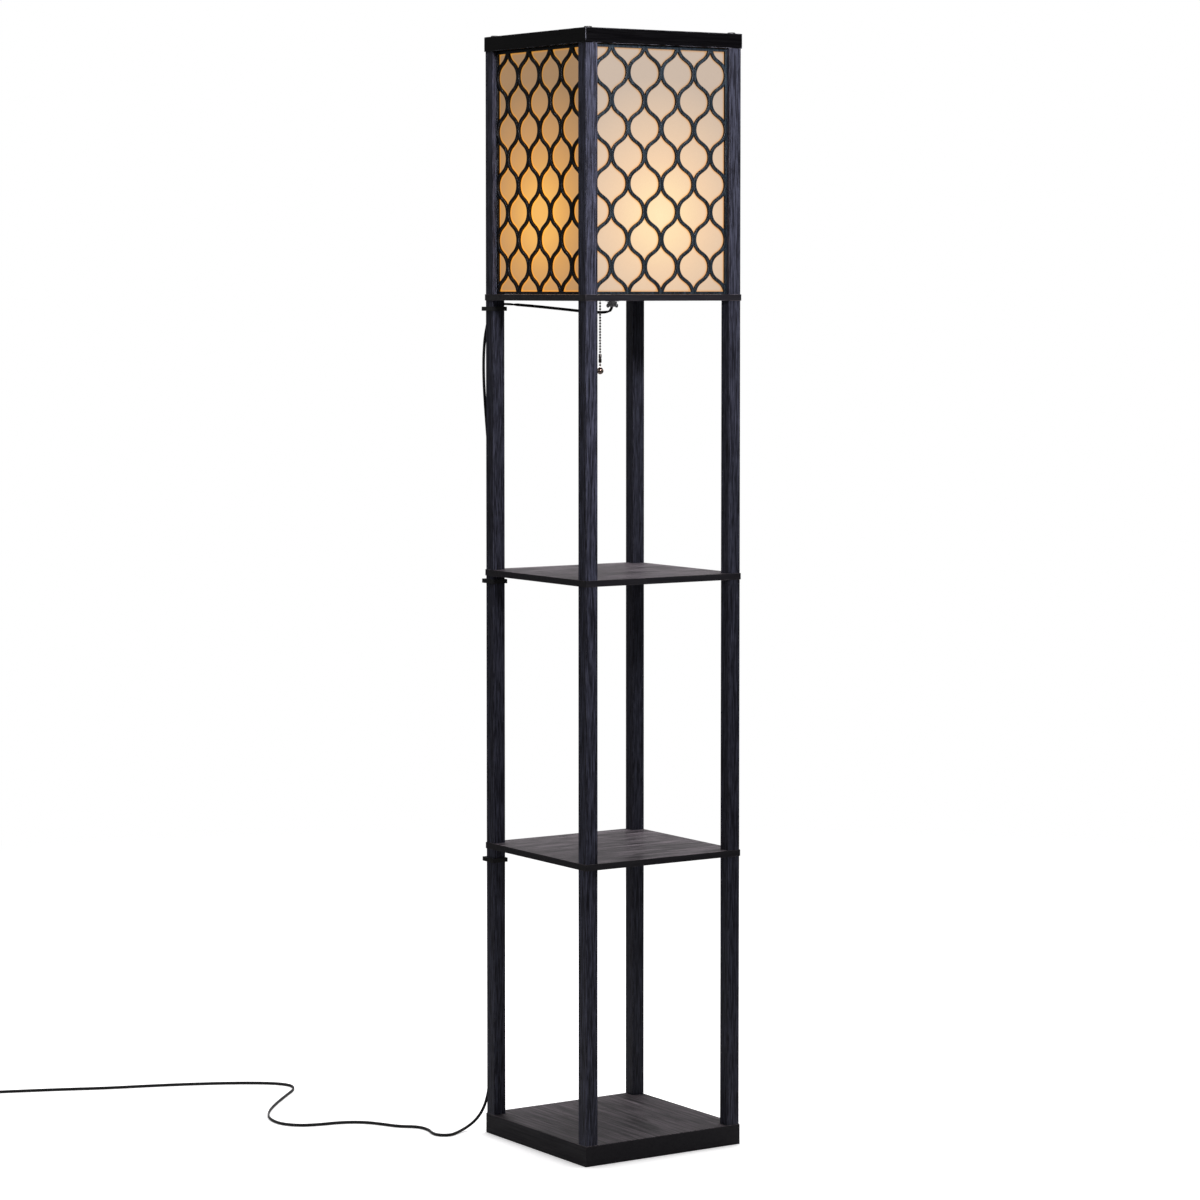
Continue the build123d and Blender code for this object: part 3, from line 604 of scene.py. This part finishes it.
# %% All the openings of a panel
# Where the openings are cut off: an axis, a limit, and 1 or -1 for what lies above or below it.
window = (
    (0, SPAN / 2 - BORDER_SIDE, 1),
    (0, BORDER_SIDE - SPAN / 2, -1),
    (1, SHADE_HEIGHT - BORDER_TOP, 1),
    (1, BORDER_BOTTOM, -1),
)
outlines = []
for row in range(ROWS + 1):
    for column in range(COLUMNS + row % 2):
        x = (column + 0.5 - COLUMNS / 2 - (row % 2) / 2) * pitch
        outline = [(x + px, row * rise + py) for px, py in opening_outline()]
        for axis, limit, sign in window:
            outline = clipped(outline, axis, limit, sign)
        outlines.append(outline)
print("openings in a panel:", len(outlines))


# %% Helpers for work in edit mode
def make_active(piece):
    """Selects one piece and nothing else."""
    bpy.ops.object.select_all(action="DESELECT")
    piece.select_set(True)
    bpy.context.view_layer.objects.active = piece


def edit_all():
    """Opens the active piece in edit mode, with all of it selected."""
    bpy.ops.object.mode_set(mode="EDIT")
    bpy.ops.mesh.select_all(action="SELECT")


def close_edit():
    """Turns the selected faces outwards and leaves edit mode."""
    bpy.ops.mesh.normals_make_consistent(inside=False)
    bpy.ops.object.mode_set(mode="OBJECT")


# %% A fretwork panel
JOIN_WITHIN = 0.01 * MM


def flat_piece(name, splines, thickness, rounding):
    """A flat curve of closed outlines, the first one the outer, made a mesh that lies in the XY plane."""
    curve = bpy.data.curves.new(name, "CURVE")
    curve.dimensions = "2D"
    curve.fill_mode = "BOTH"
    curve.extrude = thickness / 2 - rounding
    curve.bevel_depth = rounding
    curve.bevel_resolution = 1
    curve.offset = -rounding
    for points in splines:
        spline = curve.splines.new("POLY")
        spline.points.add(len(points) - 1)
        for point, (x, y) in zip(spline.points, points):
            point.co = (x, y, 0, 1)
        spline.use_cyclic_u = True
    piece = bpy.data.objects.new(name, curve)
    bpy.context.scene.collection.objects.link(piece)
    make_active(piece)
    bpy.ops.object.convert(target="MESH")
    edit_all()
    bpy.ops.mesh.remove_doubles(threshold=JOIN_WITHIN)
    close_edit()
    bpy.ops.object.shade_smooth_by_angle(angle=math.radians(40))
    return piece


low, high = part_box("lattice_front")
edge_x = high[0]
plate = [
    (-edge_x, low[2] - SHADE_FLOOR), (edge_x, low[2] - SHADE_FLOOR),
    (edge_x, high[2] - SHADE_FLOOR), (-edge_x, high[2] - SHADE_FLOOR),
]
front_panel = flat_piece("fretwork_front", [plate] + outlines, high[1] - low[1], EASED_EDGE)
front_panel.matrix_world = Matrix.Translation((0, (low[1] + high[1]) / 2, SHADE_FLOOR)) @ Matrix.Rotation(
    math.pi / 2, 4, "X"
)
bpy.ops.object.transform_apply()
print("triangles in a panel:", sum(len(p.vertices) - 2 for p in front_panel.data.polygons))


# %% Fretwork finish, with painted shade in its cuts
# From the lamp's middle: how far out the cut edges reach, and where the faces start.
CUT_UP_TO, FACE_FROM = 125.2 * MM, 125.8 * MM
CUT_EDGE_SHADE, FRET_WORN = srgb(8, 8, 9), srgb(112, 118, 128)


def fretwork_with_painted_shade(name, dark, light):
    """A sheet stained black, whose cut edges and back are painted near-black as shade."""
    material = stained_wood(
        name, "Z", dark, light, FRET_WORN, rough=0.42, fineness=380.0, bump=0.2, gloss=0.2
    )
    tree = material.node_tree
    shader = next(n for n in tree.nodes if n.type == "BSDF_PRINCIPLED")
    stain = shader.inputs["Base Color"].links[0].from_socket
    where = add_node(tree, "TexCoord").outputs["Object"]
    sizes = add_node(tree, "VectorMath", {0: where}, operation="ABSOLUTE")
    split = add_node(tree, "SeparateXYZ", {"Vector": sizes})
    from_middle = add_node(tree, "Math", {0: split.outputs["X"], 1: split.outputs["Y"]}, operation="MAXIMUM")
    on_face = add_node(tree, "MapRange", {"Value": from_middle, "From Min": CUT_UP_TO, "From Max": FACE_FROM})
    feed(tree, shader, {"Base Color": mix_colours(tree, on_face, CUT_EDGE_SHADE, stain)})
    return material


# The left and right panels get a darker copy of the stain: painted shade, as less light falls on the lamp's
# sides.
long_fretwork = fretwork_with_painted_shade("fretwork_front", srgb(30, 38, 44), srgb(62, 76, 86))
side_fretwork_painted_dark = fretwork_with_painted_shade("fretwork_side", srgb(14, 17, 20), srgb(34, 40, 46))
print("fretwork finishes:", long_fretwork.name, "and", side_fretwork_painted_dark.name)

# %% Four panels from the one
panels = [front_panel]
for side, turn in (("right", 90), ("back", 180), ("left", 270)):
    make_active(front_panel)
    bpy.ops.object.duplicate()
    panel = bpy.context.object
    panel.name = f"fretwork_{side}"
    panel.rotation_euler.z = math.radians(turn)
    bpy.ops.object.transform_apply()
    panels.append(panel)
for panel in panels:
    side = panel.name.split("_")[1]
    panel.data.materials.append(side_fretwork_painted_dark if side in ("left", "right") else long_fretwork)
    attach(panel, "frame")
    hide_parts(f"lattice_{side}")
print("panels:", [panel.name for panel in panels])

# %% [markdown]
# ## The diffusers
# A cream film stands behind each panel. The bulb lights it from inside, most at the bulb's own height and
# less towards the corners. Close to the strips its glow is painted amber, for the light that their cut edges
# throw back, and the front and back films are painted paler, for the studio light on the front. The film
# shows faint fibres. It gives off that light by itself here: light that really passed a thin film would need
# many more samples for the same look.

# %% Lit film
GLOW_LEVEL = 1340 * MM  # the bulb's middle
GLOW_REACH = 195 * MM
RIM_WIDTH = 5 * MM


def lit_film(name, plane, stops, rim_glow):
    """A translucent film. Its glow takes the colours of the stops from the bulb's level out to GLOW_REACH."""
    material, tree, shader = new_material(name)
    where = add_node(tree, "TexCoord").outputs["Object"]
    centred = add_node(tree, "VectorMath", {0: where, 1: (0, 0, GLOW_LEVEL)}, operation="SUBTRACT")
    flat = add_node(tree, "VectorMath", {0: centred, 1: plane}, operation="MULTIPLY")
    away = add_node(tree, "VectorMath", {0: flat}, operation="LENGTH").outputs["Value"]
    fall = add_node(tree, "MapRange", {"Value": away, "From Min": 0.0, "From Max": GLOW_REACH})
    glow = add_node(tree, "ValToRGB", {"Fac": fall})
    ramp = glow.color_ramp.elements
    while len(ramp) < len(stops):
        ramp.new(0.5)
    for element, (position, colour) in zip(ramp, stops):
        element.position = position
        element.color = colour
    # Painted light: close to the strips the occlusion tints the glow amber, as if their cut edges threw light
    # back.
    beside = add_node(tree, "AmbientOcclusion", {"Distance": RIM_WIDTH}, samples=8)
    rim = add_node(tree, "MapRange", {"Value": beside.outputs["AO"], "From Min": 0.82, "From Max": 0.50})
    rimmed = mix_colours(tree, rim, glow, rim_glow, blend="MULTIPLY")
    fibres = add_node(tree, "TexNoise", {"Vector": where, "Scale": 260.0, "Detail": 6.0, "Distortion": 1.2})
    mottle = add_node(tree, "MapRange", {"Value": fibres, "To Min": 0.96, "To Max": 1.03})
    lit = add_node(tree, "VectorMath", {0: rimmed, "Scale": mottle}, operation="SCALE")
    feed(tree, shader, {
        "Emission Color": lit, "Emission Strength": 0.97, "Base Color": (0.06, 0.05, 0.04, 1),
        "Roughness": 0.6, "Specular IOR Level": 0.2,
    })
    return material


# The front and back films are painted paler than the side ones, for the studio light that falls on the front.
film_front = lit_film(
    "film_front",
    (1, 0, 1),
    [(0.0, srgb(255, 232, 184)), (0.2, srgb(254, 222, 176)), (0.4, srgb(242, 207, 170)),
     (0.6, srgb(227, 197, 167)), (1.0, srgb(196, 177, 160))],
    rim_glow=(1.0, 0.66, 0.32, 1),
)
film_side = lit_film(
    "film_side",
    (0, 1, 1),
    [(0.0, srgb(251, 189, 102)), (0.2, srgb(247, 185, 99)), (0.4, srgb(222, 165, 96)),
     (0.6, srgb(202, 152, 98)), (1.0, srgb(165, 131, 96))],
    rim_glow=(1.8, 1.3, 0.35, 1),
)
for side, film in (("front", film_front), ("back", film_front), ("left", film_side), ("right", film_side)):
    finish_node(f"diffuser_{side}", film)

# %% [markdown]
# ## Turned pieces
# The socket, bulb, nipple, washer, chain ferrule, connector, ball and bolt caps are all round. Each starts as
# a disc or an open ring, which is extruded and scaled from ring to ring, as one does by hand with E and S. A
# hollow piece's rings go up its outside and down its inside, and it ends where it starts. Spin could turn a
# drawn profile too. Rings were chosen because a maker gives such a piece as diameters and heights.


# %% A lathe
MERGE_WITHIN = 0.005 * MM


def rings_at(level, *rings):
    """Rings in millimetres, each a radius and a height above a level that is in metres."""
    return [(radius * MM, level + height * MM) for radius, height in rings]


def ridges(radius, depth, foot, top, count):
    """Rings of a rolled thread: count rounded crests between two levels."""
    steps = 6 * count
    return [
        (radius - depth * (0.5 - 0.5 * math.cos(math.tau * i / 6)), foot + (top - foot) * i / steps)
        for i in range(steps + 1)
    ]


def round_rings(radius, middle, start, end, steps):
    """Rings up a ball's side, between two angles that are counted from its bottom."""
    angles = [start + (end - start) * i / steps for i in range(steps + 1)]
    return [(radius * math.sin(a), middle - radius * math.cos(a)) for a in angles]


def turned(name, rings, x=0.0, sides=40, smooth=35, fill="NGON"):
    """A piece of rings round a vertical axis at x, each a radius and a height. It can end where it starts."""
    (radius, height), *others = rings
    bpy.ops.object.select_all(action="DESELECT")
    if rings[0] == rings[-1]:
        fill = "NOTHING"
    bpy.ops.mesh.primitive_circle_add(vertices=sides, radius=radius, fill_type=fill, location=(x, 0, height))
    piece = bpy.context.object
    piece.name = name
    edit_all()
    for next_radius, next_height in others:
        bpy.ops.mesh.extrude_region_move(TRANSFORM_OT_translate={"value": (0, 0, next_height - height)})
        share = next_radius / radius
        bpy.ops.transform.resize(value=(share, share, 1), center_override=(x, 0, next_height))
        radius, height = next_radius, next_height
    bpy.ops.mesh.select_all(action="SELECT")
    bpy.ops.mesh.remove_doubles(threshold=MERGE_WITHIN)
    close_edit()
    bpy.ops.object.transform_apply()
    bpy.ops.object.shade_smooth_by_angle(angle=math.radians(smooth))
    return piece


def finish_piece(piece, body, replaced, material):
    """A new piece gets its body, the CAD node it stands for and its material."""
    piece.data.materials.clear()
    piece.data.materials.append(material)
    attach(piece, body)
    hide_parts(replaced)
    print("made:", piece.name, "with", len(piece.data.polygons), "faces")


# %% [markdown]
# ## Metals and mouldings
# Plated steel, brass and aluminium are bright where they are polished, and each shows faint scratches and a
# duller film where fingers touch. The mouldings are black phenolic and nylon, with a slight orange-peel
# surface. One even grey would look like a mirror on pieces this small, so one noise varies the colour and the
# roughness, and a finer one gives the relief.

# %% Metal and plastic finishes
EDGE_SHINE = 1.35  # how much brighter a rubbed edge is
SCRATCHES_TO_PATCHES = 9


def worn_surface(name, base, tarnish, metallic, low_rough, high_rough, scale=180.0, bump=0.05):
    """A metal or plastic with soft patches of tarnish, fine scratches and a faint relief."""
    material, tree, shader = new_material(name)
    where = add_node(tree, "TexCoord").outputs["Object"]
    patches = add_node(tree, "TexNoise", {"Vector": where, "Scale": scale, "Detail": 5.0, "Roughness": 0.6})
    scratches = add_node(tree, "TexNoise", {
        "Vector": where, "Scale": scale * SCRATCHES_TO_PATCHES, "Detail": 2.0, "Distortion": 2.0,
    })
    dull = add_node(tree, "MapRange", {"Value": patches, "From Min": 0.42, "From Max": 0.68})
    wear = add_node(tree, "Group", {"Width": 0.6 * MM, "Breakup": 300.0}, node_tree=wear_group)
    colour = mix_colours(tree, dull, base, tarnish)
    shine = (*(min(1.0, EDGE_SHINE * c) for c in base[:3]), 1)
    rough = add_node(tree, "MapRange", {"Value": patches, "To Min": low_rough, "To Max": high_rough})
    relief = add_node(tree, "Bump", {"Strength": bump, "Distance": 0.1 * MM, "Height": scratches})
    feed(tree, shader, {
        "Base Color": mix_colours(tree, wear, colour, shine),
        "Roughness": rough, "Normal": relief, "Metallic": metallic,
    })
    return material


zinc = worn_surface("zinc", (0.70, 0.70, 0.72, 1), (0.50, 0.50, 0.50, 1), 0.7, 0.22, 0.42)
nickel = worn_surface("nickel", (0.56, 0.42, 0.35, 1), (0.30, 0.21, 0.17, 1), 1.0, 0.12, 0.30, scale=420.0)
dull_nickel = worn_surface(
    "dull_nickel", (0.16, 0.14, 0.13, 1), (0.08, 0.07, 0.07, 1), 1.0, 0.22, 0.40, scale=420.0
)
brass = worn_surface("brass", (0.74, 0.55, 0.24, 1), (0.45, 0.32, 0.14, 1), 1.0, 0.20, 0.42)
aluminium = worn_surface("aluminium", (0.78, 0.78, 0.79, 1), (0.6, 0.6, 0.6, 1), 1.0, 0.24, 0.40)
black_steel = worn_surface("black_steel", srgb(26, 26, 28), srgb(18, 18, 19), 0.0, 0.28, 0.42, scale=240.0)
phenolic = worn_surface("phenolic", srgb(24, 23, 23), srgb(34, 33, 33), 0.0, 0.24, 0.44, scale=90.0)
nylon = worn_surface("clip_nylon", srgb(18, 18, 20), srgb(27, 27, 30), 0.0, 0.30, 0.46, scale=200.0)
vinyl = worn_surface("cord_vinyl", srgb(9, 9, 11), srgb(17, 17, 20), 0.0, 0.38, 0.56, scale=500.0, bump=0.12)

for name in ("base_bolts", "shelf_studs"):
    finish_node(name, zinc)
for bay in ("lower", "middle", "upper"):
    finish_node(f"cord_clip_{bay}", nylon)
finish_node("plug_blades", brass)
cord.data.materials.append(vinyl)

# %% [markdown]
# ## Socket, nipple and washer
# The socket is a black moulding with a conical foot, a barrel with a few shallow ribs, and a rolled brass
# sleeve inside. A threaded nipple fixes it to the shade floor, and a washer and a wing nut close it
# underneath. All but the nut are turned from rings. Ribs and thread crests are real shape here, because a
# bump would leave the outline smooth.

# %% Socket
# Its rings are given in millimetres: from the axis, and above the shade floor.
BARREL, CONTACT_HEIGHT = 18, 26
contact_foot = SHADE_FLOOR + CONTACT_HEIGHT * MM
socket_rings = rings_at(
    SHADE_FLOOR, (4.9, 0), (10.4, 0), (11, 0.6), (11, 4.6), (11.5, 5.6), (17.2, 19), (BARREL, 20.4)
)
for rib in (24, 28, 32, 36):
    socket_rings += rings_at(
        SHADE_FLOOR, (BARREL, rib), (17.3, rib + 0.6), (17.3, rib + 1.4), (BARREL, rib + 2)
    )
socket_rings += rings_at(
    SHADE_FLOOR, (BARREL, 55), (17.2, 56), (16, 56), (15.6, 55.4), (15.6, CONTACT_HEIGHT),
    (4.9, CONTACT_HEIGHT), (4.9, 0),
)
socket = turned("socket", socket_rings, sides=56)
finish_piece(socket, "frame", "socket_body", phenolic)

# %% Screw sleeve and contact
SLEEVE_WALL = 0.5 * MM
sleeve_rings = ridges(14.2 * MM, 0.4 * MM, contact_foot, contact_foot + 26 * MM, 7)
sleeve_rings += [(r - SLEEVE_WALL, z) for r, z in reversed(sleeve_rings)]
sleeve = turned("screw_sleeve", sleeve_rings + sleeve_rings[:1], sides=48)
finish_piece(sleeve, "frame", "socket_sleeve", brass)

contact_rings = rings_at(contact_foot, (3.6, 0), (4, 0.3), (4, 1.3), (3.2, 1.8), (0.2, 2))
contact = turned("contact", contact_rings, sides=24)
finish_piece(contact, "frame", "socket_contact", brass)

# %% Nipple and washer
FLOOR_UNDER = 1220 * MM  # the shade floor's underside
nipple_foot = FLOOR_UNDER - 9 * MM
nipple_rings = rings_at(nipple_foot, (0.2, 7), (2.8, 7), (2.8, 0), (4.3, 0))
nipple_rings += ridges(4.8 * MM, 0.35 * MM, nipple_foot + 0.4 * MM, contact_foot - 0.4 * MM, 30)
nipple_rings += rings_at(contact_foot, (4.3, 0), (0.2, 0))
nipple = turned("nipple", nipple_rings, sides=28)
finish_piece(nipple, "frame", "socket_nipple", zinc)

washer = turned("washer", rings_at(
    FLOOR_UNDER, (5.1, -1.2), (9.7, -1.2), (10, -0.9), (10, -0.2), (9.8, 0), (5.1, 0), (5.1, -1.2)
))
finish_piece(washer, "frame", "nut_washer", zinc)

# %% [markdown]
# ## Wing nut
# The nut is a tapered hub with two rounded ears that droop a little. An ear is a thick disc, a little
# narrower than it is high, with its rims eased by a bevel, and sunk into the hub. The nut is one piece,
# because it turns as one.


# %% Helpers for built-up pieces
def eased(piece, width, segments=2, angle=40):
    """Rounds a piece's sharp edges with an applied Bevel modifier."""
    make_active(piece)
    bevel = piece.modifiers.new("eased", "BEVEL")
    bevel.width = width
    bevel.segments = segments
    bevel.limit_method = "ANGLE"
    bevel.angle_limit = math.radians(angle)
    bpy.ops.object.modifier_apply(modifier=bevel.name)
    bpy.ops.object.shade_smooth_by_angle(angle=math.radians(35))


def joined(name, pieces):
    """One piece out of several."""
    bpy.ops.object.select_all(action="DESELECT")
    for piece in pieces:
        piece.select_set(True)
    bpy.context.view_layer.objects.active = pieces[0]
    bpy.ops.object.join()
    pieces[0].name = name
    return pieces[0]


# %% Wing nut
NUT_FOOT = 1212.1 * MM
EAR_OUT, EAR_UP, EAR_RADIUS, EAR_THICKNESS = 7.5 * MM, 0.6 * MM, 3 * MM, 1.8 * MM
EAR_SQUEEZE = 0.82  # how much narrower than a circle an ear is

nut_parts = [turned("hub", rings_at(
    NUT_FOOT, (5.1, 0), (6.1, 0), (6.5, 0.4), (7, 5), (7, 6.1), (6.7, 6.4), (5.1, 6.4), (5.1, 0)
), sides=36)]
for way in (1, -1):
    bpy.ops.object.select_all(action="DESELECT")
    bpy.ops.mesh.primitive_circle_add(
        vertices=28, radius=EAR_RADIUS, fill_type="NGON", rotation=(math.pi / 2, 0, 0),
        location=(way * EAR_OUT, EAR_THICKNESS / 2, NUT_FOOT + EAR_UP),
    )
    ear = bpy.context.object
    bpy.ops.object.mode_set(mode="EDIT")
    bpy.ops.mesh.extrude_region_move(TRANSFORM_OT_translate={"value": (0, -EAR_THICKNESS, 0)})
    bpy.ops.mesh.select_all(action="SELECT")
    bpy.ops.transform.resize(value=(EAR_SQUEEZE, 1, 1), center_override=(way * EAR_OUT, 0, 0))
    close_edit()
    bpy.ops.object.transform_apply()
    eased(ear, 0.5 * MM)
    nut_parts.append(ear)
wing_nut = joined("wing_nut_piece", nut_parts)
finish_piece(wing_nut, "wing_nut", "wing_nut", zinc)

# %% [markdown]
# ## Bulb
# An ordinary frosted bulb: a globe that narrows along an S curve into an aluminium screw cap with a rolled
# thread, whose foot narrows to an insulator and a solder button below, all of aluminium here. It is lit, so
# its glass gives off warm light by itself: a light shut inside frosted glass would need far more samples.

# %% Screw cap
cap_foot = contact_foot + 2.3 * MM
cap_rim = cap_foot + 22 * MM
cap_rings = rings_at(cap_foot, (0.3, 0), (3.2, 0), (4, 0.6), (4, 1.5), (5.5, 2), (12, 5.3))
cap_rings += ridges(13 * MM, 0.8 * MM, cap_foot + 5.6 * MM, cap_foot + 19 * MM, 4)
cap_rings += rings_at(cap_foot, (12.6, 20), (12.9, 20.6), (12.9, 22), (0.3, 22))
screw_cap = turned("screw_cap", cap_rings, sides=48)
finish_piece(screw_cap, "bulb", "bulb_base", aluminium)

# %% Glass
GLASS_LENGTH, GLOBE, GLASS_NECK = 86 * MM, 30 * MM, 12 * MM
NECK_BANDS, GLOBE_BANDS = 12, 18
# From the globe's bottom: where the neck leaves it, and just short of its top.
LEAVE, CLOSE = math.radians(52), math.radians(178.5)
globe_middle = cap_rim + GLASS_LENGTH - GLOBE
globe_rings = round_rings(GLOBE, globe_middle, LEAVE, CLOSE, GLOBE_BANDS)
leave_radius, leave_level = globe_rings[0]
glass_rings = [(GLASS_NECK, cap_rim)]
for i in range(1, NECK_BANDS):
    t = i / NECK_BANDS
    swell = t * t * (3 - 2 * t) * (1 - t) + t * t
    radius = GLASS_NECK * (1 - swell) + leave_radius * swell
    glass_rings.append((radius, cap_rim + (leave_level - cap_rim) * t))
glass = turned("glass", glass_rings + globe_rings, sides=48)

frosted, tree, shader = new_material("frosted_lit")
where = add_node(tree, "TexCoord").outputs["Object"]
frost = add_node(tree, "TexNoise", {"Vector": where, "Scale": 1500.0, "Detail": 2.0})
feed(tree, shader, {
    "Emission Color": mix_colours(tree, frost, (1.0, 0.78, 0.46, 1), (1.0, 0.86, 0.62, 1)),
    "Emission Strength": 7.0, "Base Color": (0.9, 0.88, 0.84, 1), "Roughness": 0.5,
})
finish_piece(glass, "bulb", "bulb_glass", frosted)

# %% [markdown]
# ## Pull chain
# A brass ferrule at the socket's side lets out a chain of hollow beads on short links. The chain passes
# through a hole in the shade floor and hangs below it, down to a coupling and a ball to hold. One bead with
# half a link at each end is turned on the lathe, and an Array modifier repeats it and merges the links where
# they meet. Copies made one by one would do the same, with more work to join them.

# %% Ferrule
CHAIN_X = -21 * MM
ferrule_foot = SHADE_FLOOR + 30 * MM
ferrule = turned("ferrule", rings_at(
    ferrule_foot, (0.2, 8), (2.3, 8), (2.3, 0.4), (2.6, 0), (3.4, 0), (3.7, 0.5), (3.2, 1.4),
    (3.2, 8.8), (2.9, 9.8), (0.2, 10),
), x=CHAIN_X, sides=28)
finish_piece(ferrule, "frame", "chain_ferrule", brass)

# %% Strings of beads
BEAD, LINK = 1.6 * MM, 0.45 * MM  # radii
SWING_LEVEL, SWING_GAP = 1214 * MM, 0.3 * MM  # where the chain swings, and the gap between its strings there
STRING_FOOT = 1144 * MM


def bead_string(name, top, foot, count):
    """A string of beads between two levels."""
    step = (top - foot) / count
    opening = math.asin(LINK / BEAD)
    bead = round_rings(BEAD, foot + step / 2, opening, math.pi - opening, 8)
    rings = [(LINK, foot)] + bead + [(LINK, foot + step)]
    string = turned(name, rings, x=CHAIN_X, sides=14, smooth=60, fill="NOTHING")
    array = string.modifiers.new("beads", "ARRAY")
    array.count = count
    array.use_relative_offset = False
    array.use_constant_offset = True
    array.constant_offset_displace = (0, 0, step)
    array.use_merge_vertices = True
    array.merge_threshold = 0.02 * MM
    bpy.ops.object.modifier_apply(modifier=array.name)
    edit_all()
    bpy.ops.mesh.fill_holes(sides=0)
    close_edit()
    return string


pull_string = bead_string("beads_above", ferrule_foot + 5 * MM, SWING_LEVEL + SWING_GAP / 2, 12)
finish_piece(pull_string, "chain_slide", "pull_chain", dull_nickel)
hanging_string = bead_string("beads_below", SWING_LEVEL - SWING_GAP / 2, STRING_FOOT, 17)
finish_piece(hanging_string, "chain_swing", "hanging_chain", dull_nickel)

# %% Coupling and ball
COUPLING_FOOT = 1130.4 * MM
BALL_MIDDLE, BALL_RADIUS, LAST_BEAD = 1119 * MM, 5 * MM, 1127.3 * MM
LAST_OPENING = 0.29  # radians from the last bead's poles to its links

coupling = turned("coupling", rings_at(
    COUPLING_FOOT, (0.3, 0), (1.2, 0), (1.9, 0.5), (2.2, 1.2), (2.2, 5.6), (1.8, 6), (1.8, 7), (2.2, 7.4),
    (2.2, 11.8), (1.9, 12.5), (1.1, 13), (0.3, 13),
), x=CHAIN_X, sides=24)
finish_piece(coupling, "chain_pendant", "chain_connector", dull_nickel)

ball_rings = [(0.15 * MM, BALL_MIDDLE - BALL_RADIUS)]
ball_rings += round_rings(BALL_RADIUS, BALL_MIDDLE, math.pi / 18, math.pi * 17 / 18, 16)
ball_rings += round_rings(BEAD, LAST_BEAD, LAST_OPENING, math.pi - LAST_OPENING, 8)
ball_rings.append((LINK, COUPLING_FOOT))
ball = turned("ball", ball_rings, x=CHAIN_X, sides=32, smooth=60)
finish_piece(ball, "chain_pendant", "chain_ball", nickel)

# %% [markdown]
# ## Bolt caps
# A round black cap closes the bolt at each corner of the top frame. One bolt with its cap is turned, copied
# to the other corners and joined to them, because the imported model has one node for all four.

# %% Top bolts
TOP, POST_MIDDLE = 1600 * MM, 122.5 * MM
bolt = turned("top_bolt", rings_at(
    TOP, (2.6, -33), (3, -32.6), (3, 0), (5.6, 0), (5.75, 0.2), (5.75, 1.2), (5.3, 1.7), (4.2, 2), (0.2, 2)
))
bolts = []
for x, y in ((-1, -1), (1, -1), (1, 1), (-1, 1)):
    make_active(bolt)
    bpy.ops.object.duplicate()
    bpy.context.object.location = (x * POST_MIDDLE, y * POST_MIDDLE, 0)
    bpy.ops.object.transform_apply()
    bolts.append(bpy.context.object)
bpy.data.objects.remove(bolt)
finish_piece(joined("top_bolt_caps", bolts), "frame", "top_bolts", black_steel)

# %% [markdown]
# ## Plug
# The plug is moulded onto the cord: a flat grip that widens towards the blades, and a ribbed strain relief
# that tapers onto the lead. It is shaped upright at the origin, where its measures lie along the axes, and
# laid on the coil's tail when it is done.

# %% Strain relief
PLUG_NECK = 16 * MM
relief_rings = rings_at(0, (2.5, -4), (2.7, -3.6))
for i in range(5):
    foot, radius = -3 + 3.6 * i, 2.9 + 0.16 * i
    relief_rings += rings_at(
        0, (radius, foot), (radius, foot + 2), (radius - 0.5, foot + 2.4), (radius - 0.5, foot + 3.2)
    )
relief_rings += rings_at(PLUG_NECK, (3.7, 0), (3.7, 2))
relief = turned("relief", relief_rings, sides=28)

# %% Grip
PLUG_WIDTH, PLUG_THICKNESS, PLUG_LENGTH = 25 * MM, 15.2 * MM, 24 * MM
NECK_SHARE = (0.6, 0.72, 1)  # how much of its width and thickness the grip keeps at the neck
bpy.ops.object.select_all(action="DESELECT")
bpy.ops.mesh.primitive_cube_add(size=1, location=(0, 0, PLUG_NECK + PLUG_LENGTH / 2))
grip = bpy.context.object
grip.dimensions = (PLUG_WIDTH, PLUG_THICKNESS, PLUG_LENGTH)
bpy.ops.object.transform_apply()
bpy.ops.object.mode_set(mode="EDIT")
bpy.ops.mesh.select_all(action="DESELECT")
bpy.ops.object.mode_set(mode="OBJECT")
for face in grip.data.polygons:
    face.select = face.normal.z < -0.9
bpy.ops.object.mode_set(mode="EDIT")
bpy.ops.transform.resize(value=NECK_SHARE, center_override=(0, 0, PLUG_NECK))
bpy.ops.object.mode_set(mode="OBJECT")
eased(grip, 2.6 * MM, segments=4)

# %% Lay the plug on the coil's tail
plug = joined("plug", [grip, relief])
plug_way = (coil[-1] - coil[-2]).normalized()
plug_side = Vector((-plug_way.y, plug_way.x, 0))
facing = Matrix((plug_side, plug_way.cross(plug_side), plug_way)).transposed().to_4x4()
plug.matrix_world = Matrix.Translation(coil[-1]) @ facing
bpy.ops.object.transform_apply()
finish_piece(plug, "frame", "plug_body", vinyl)
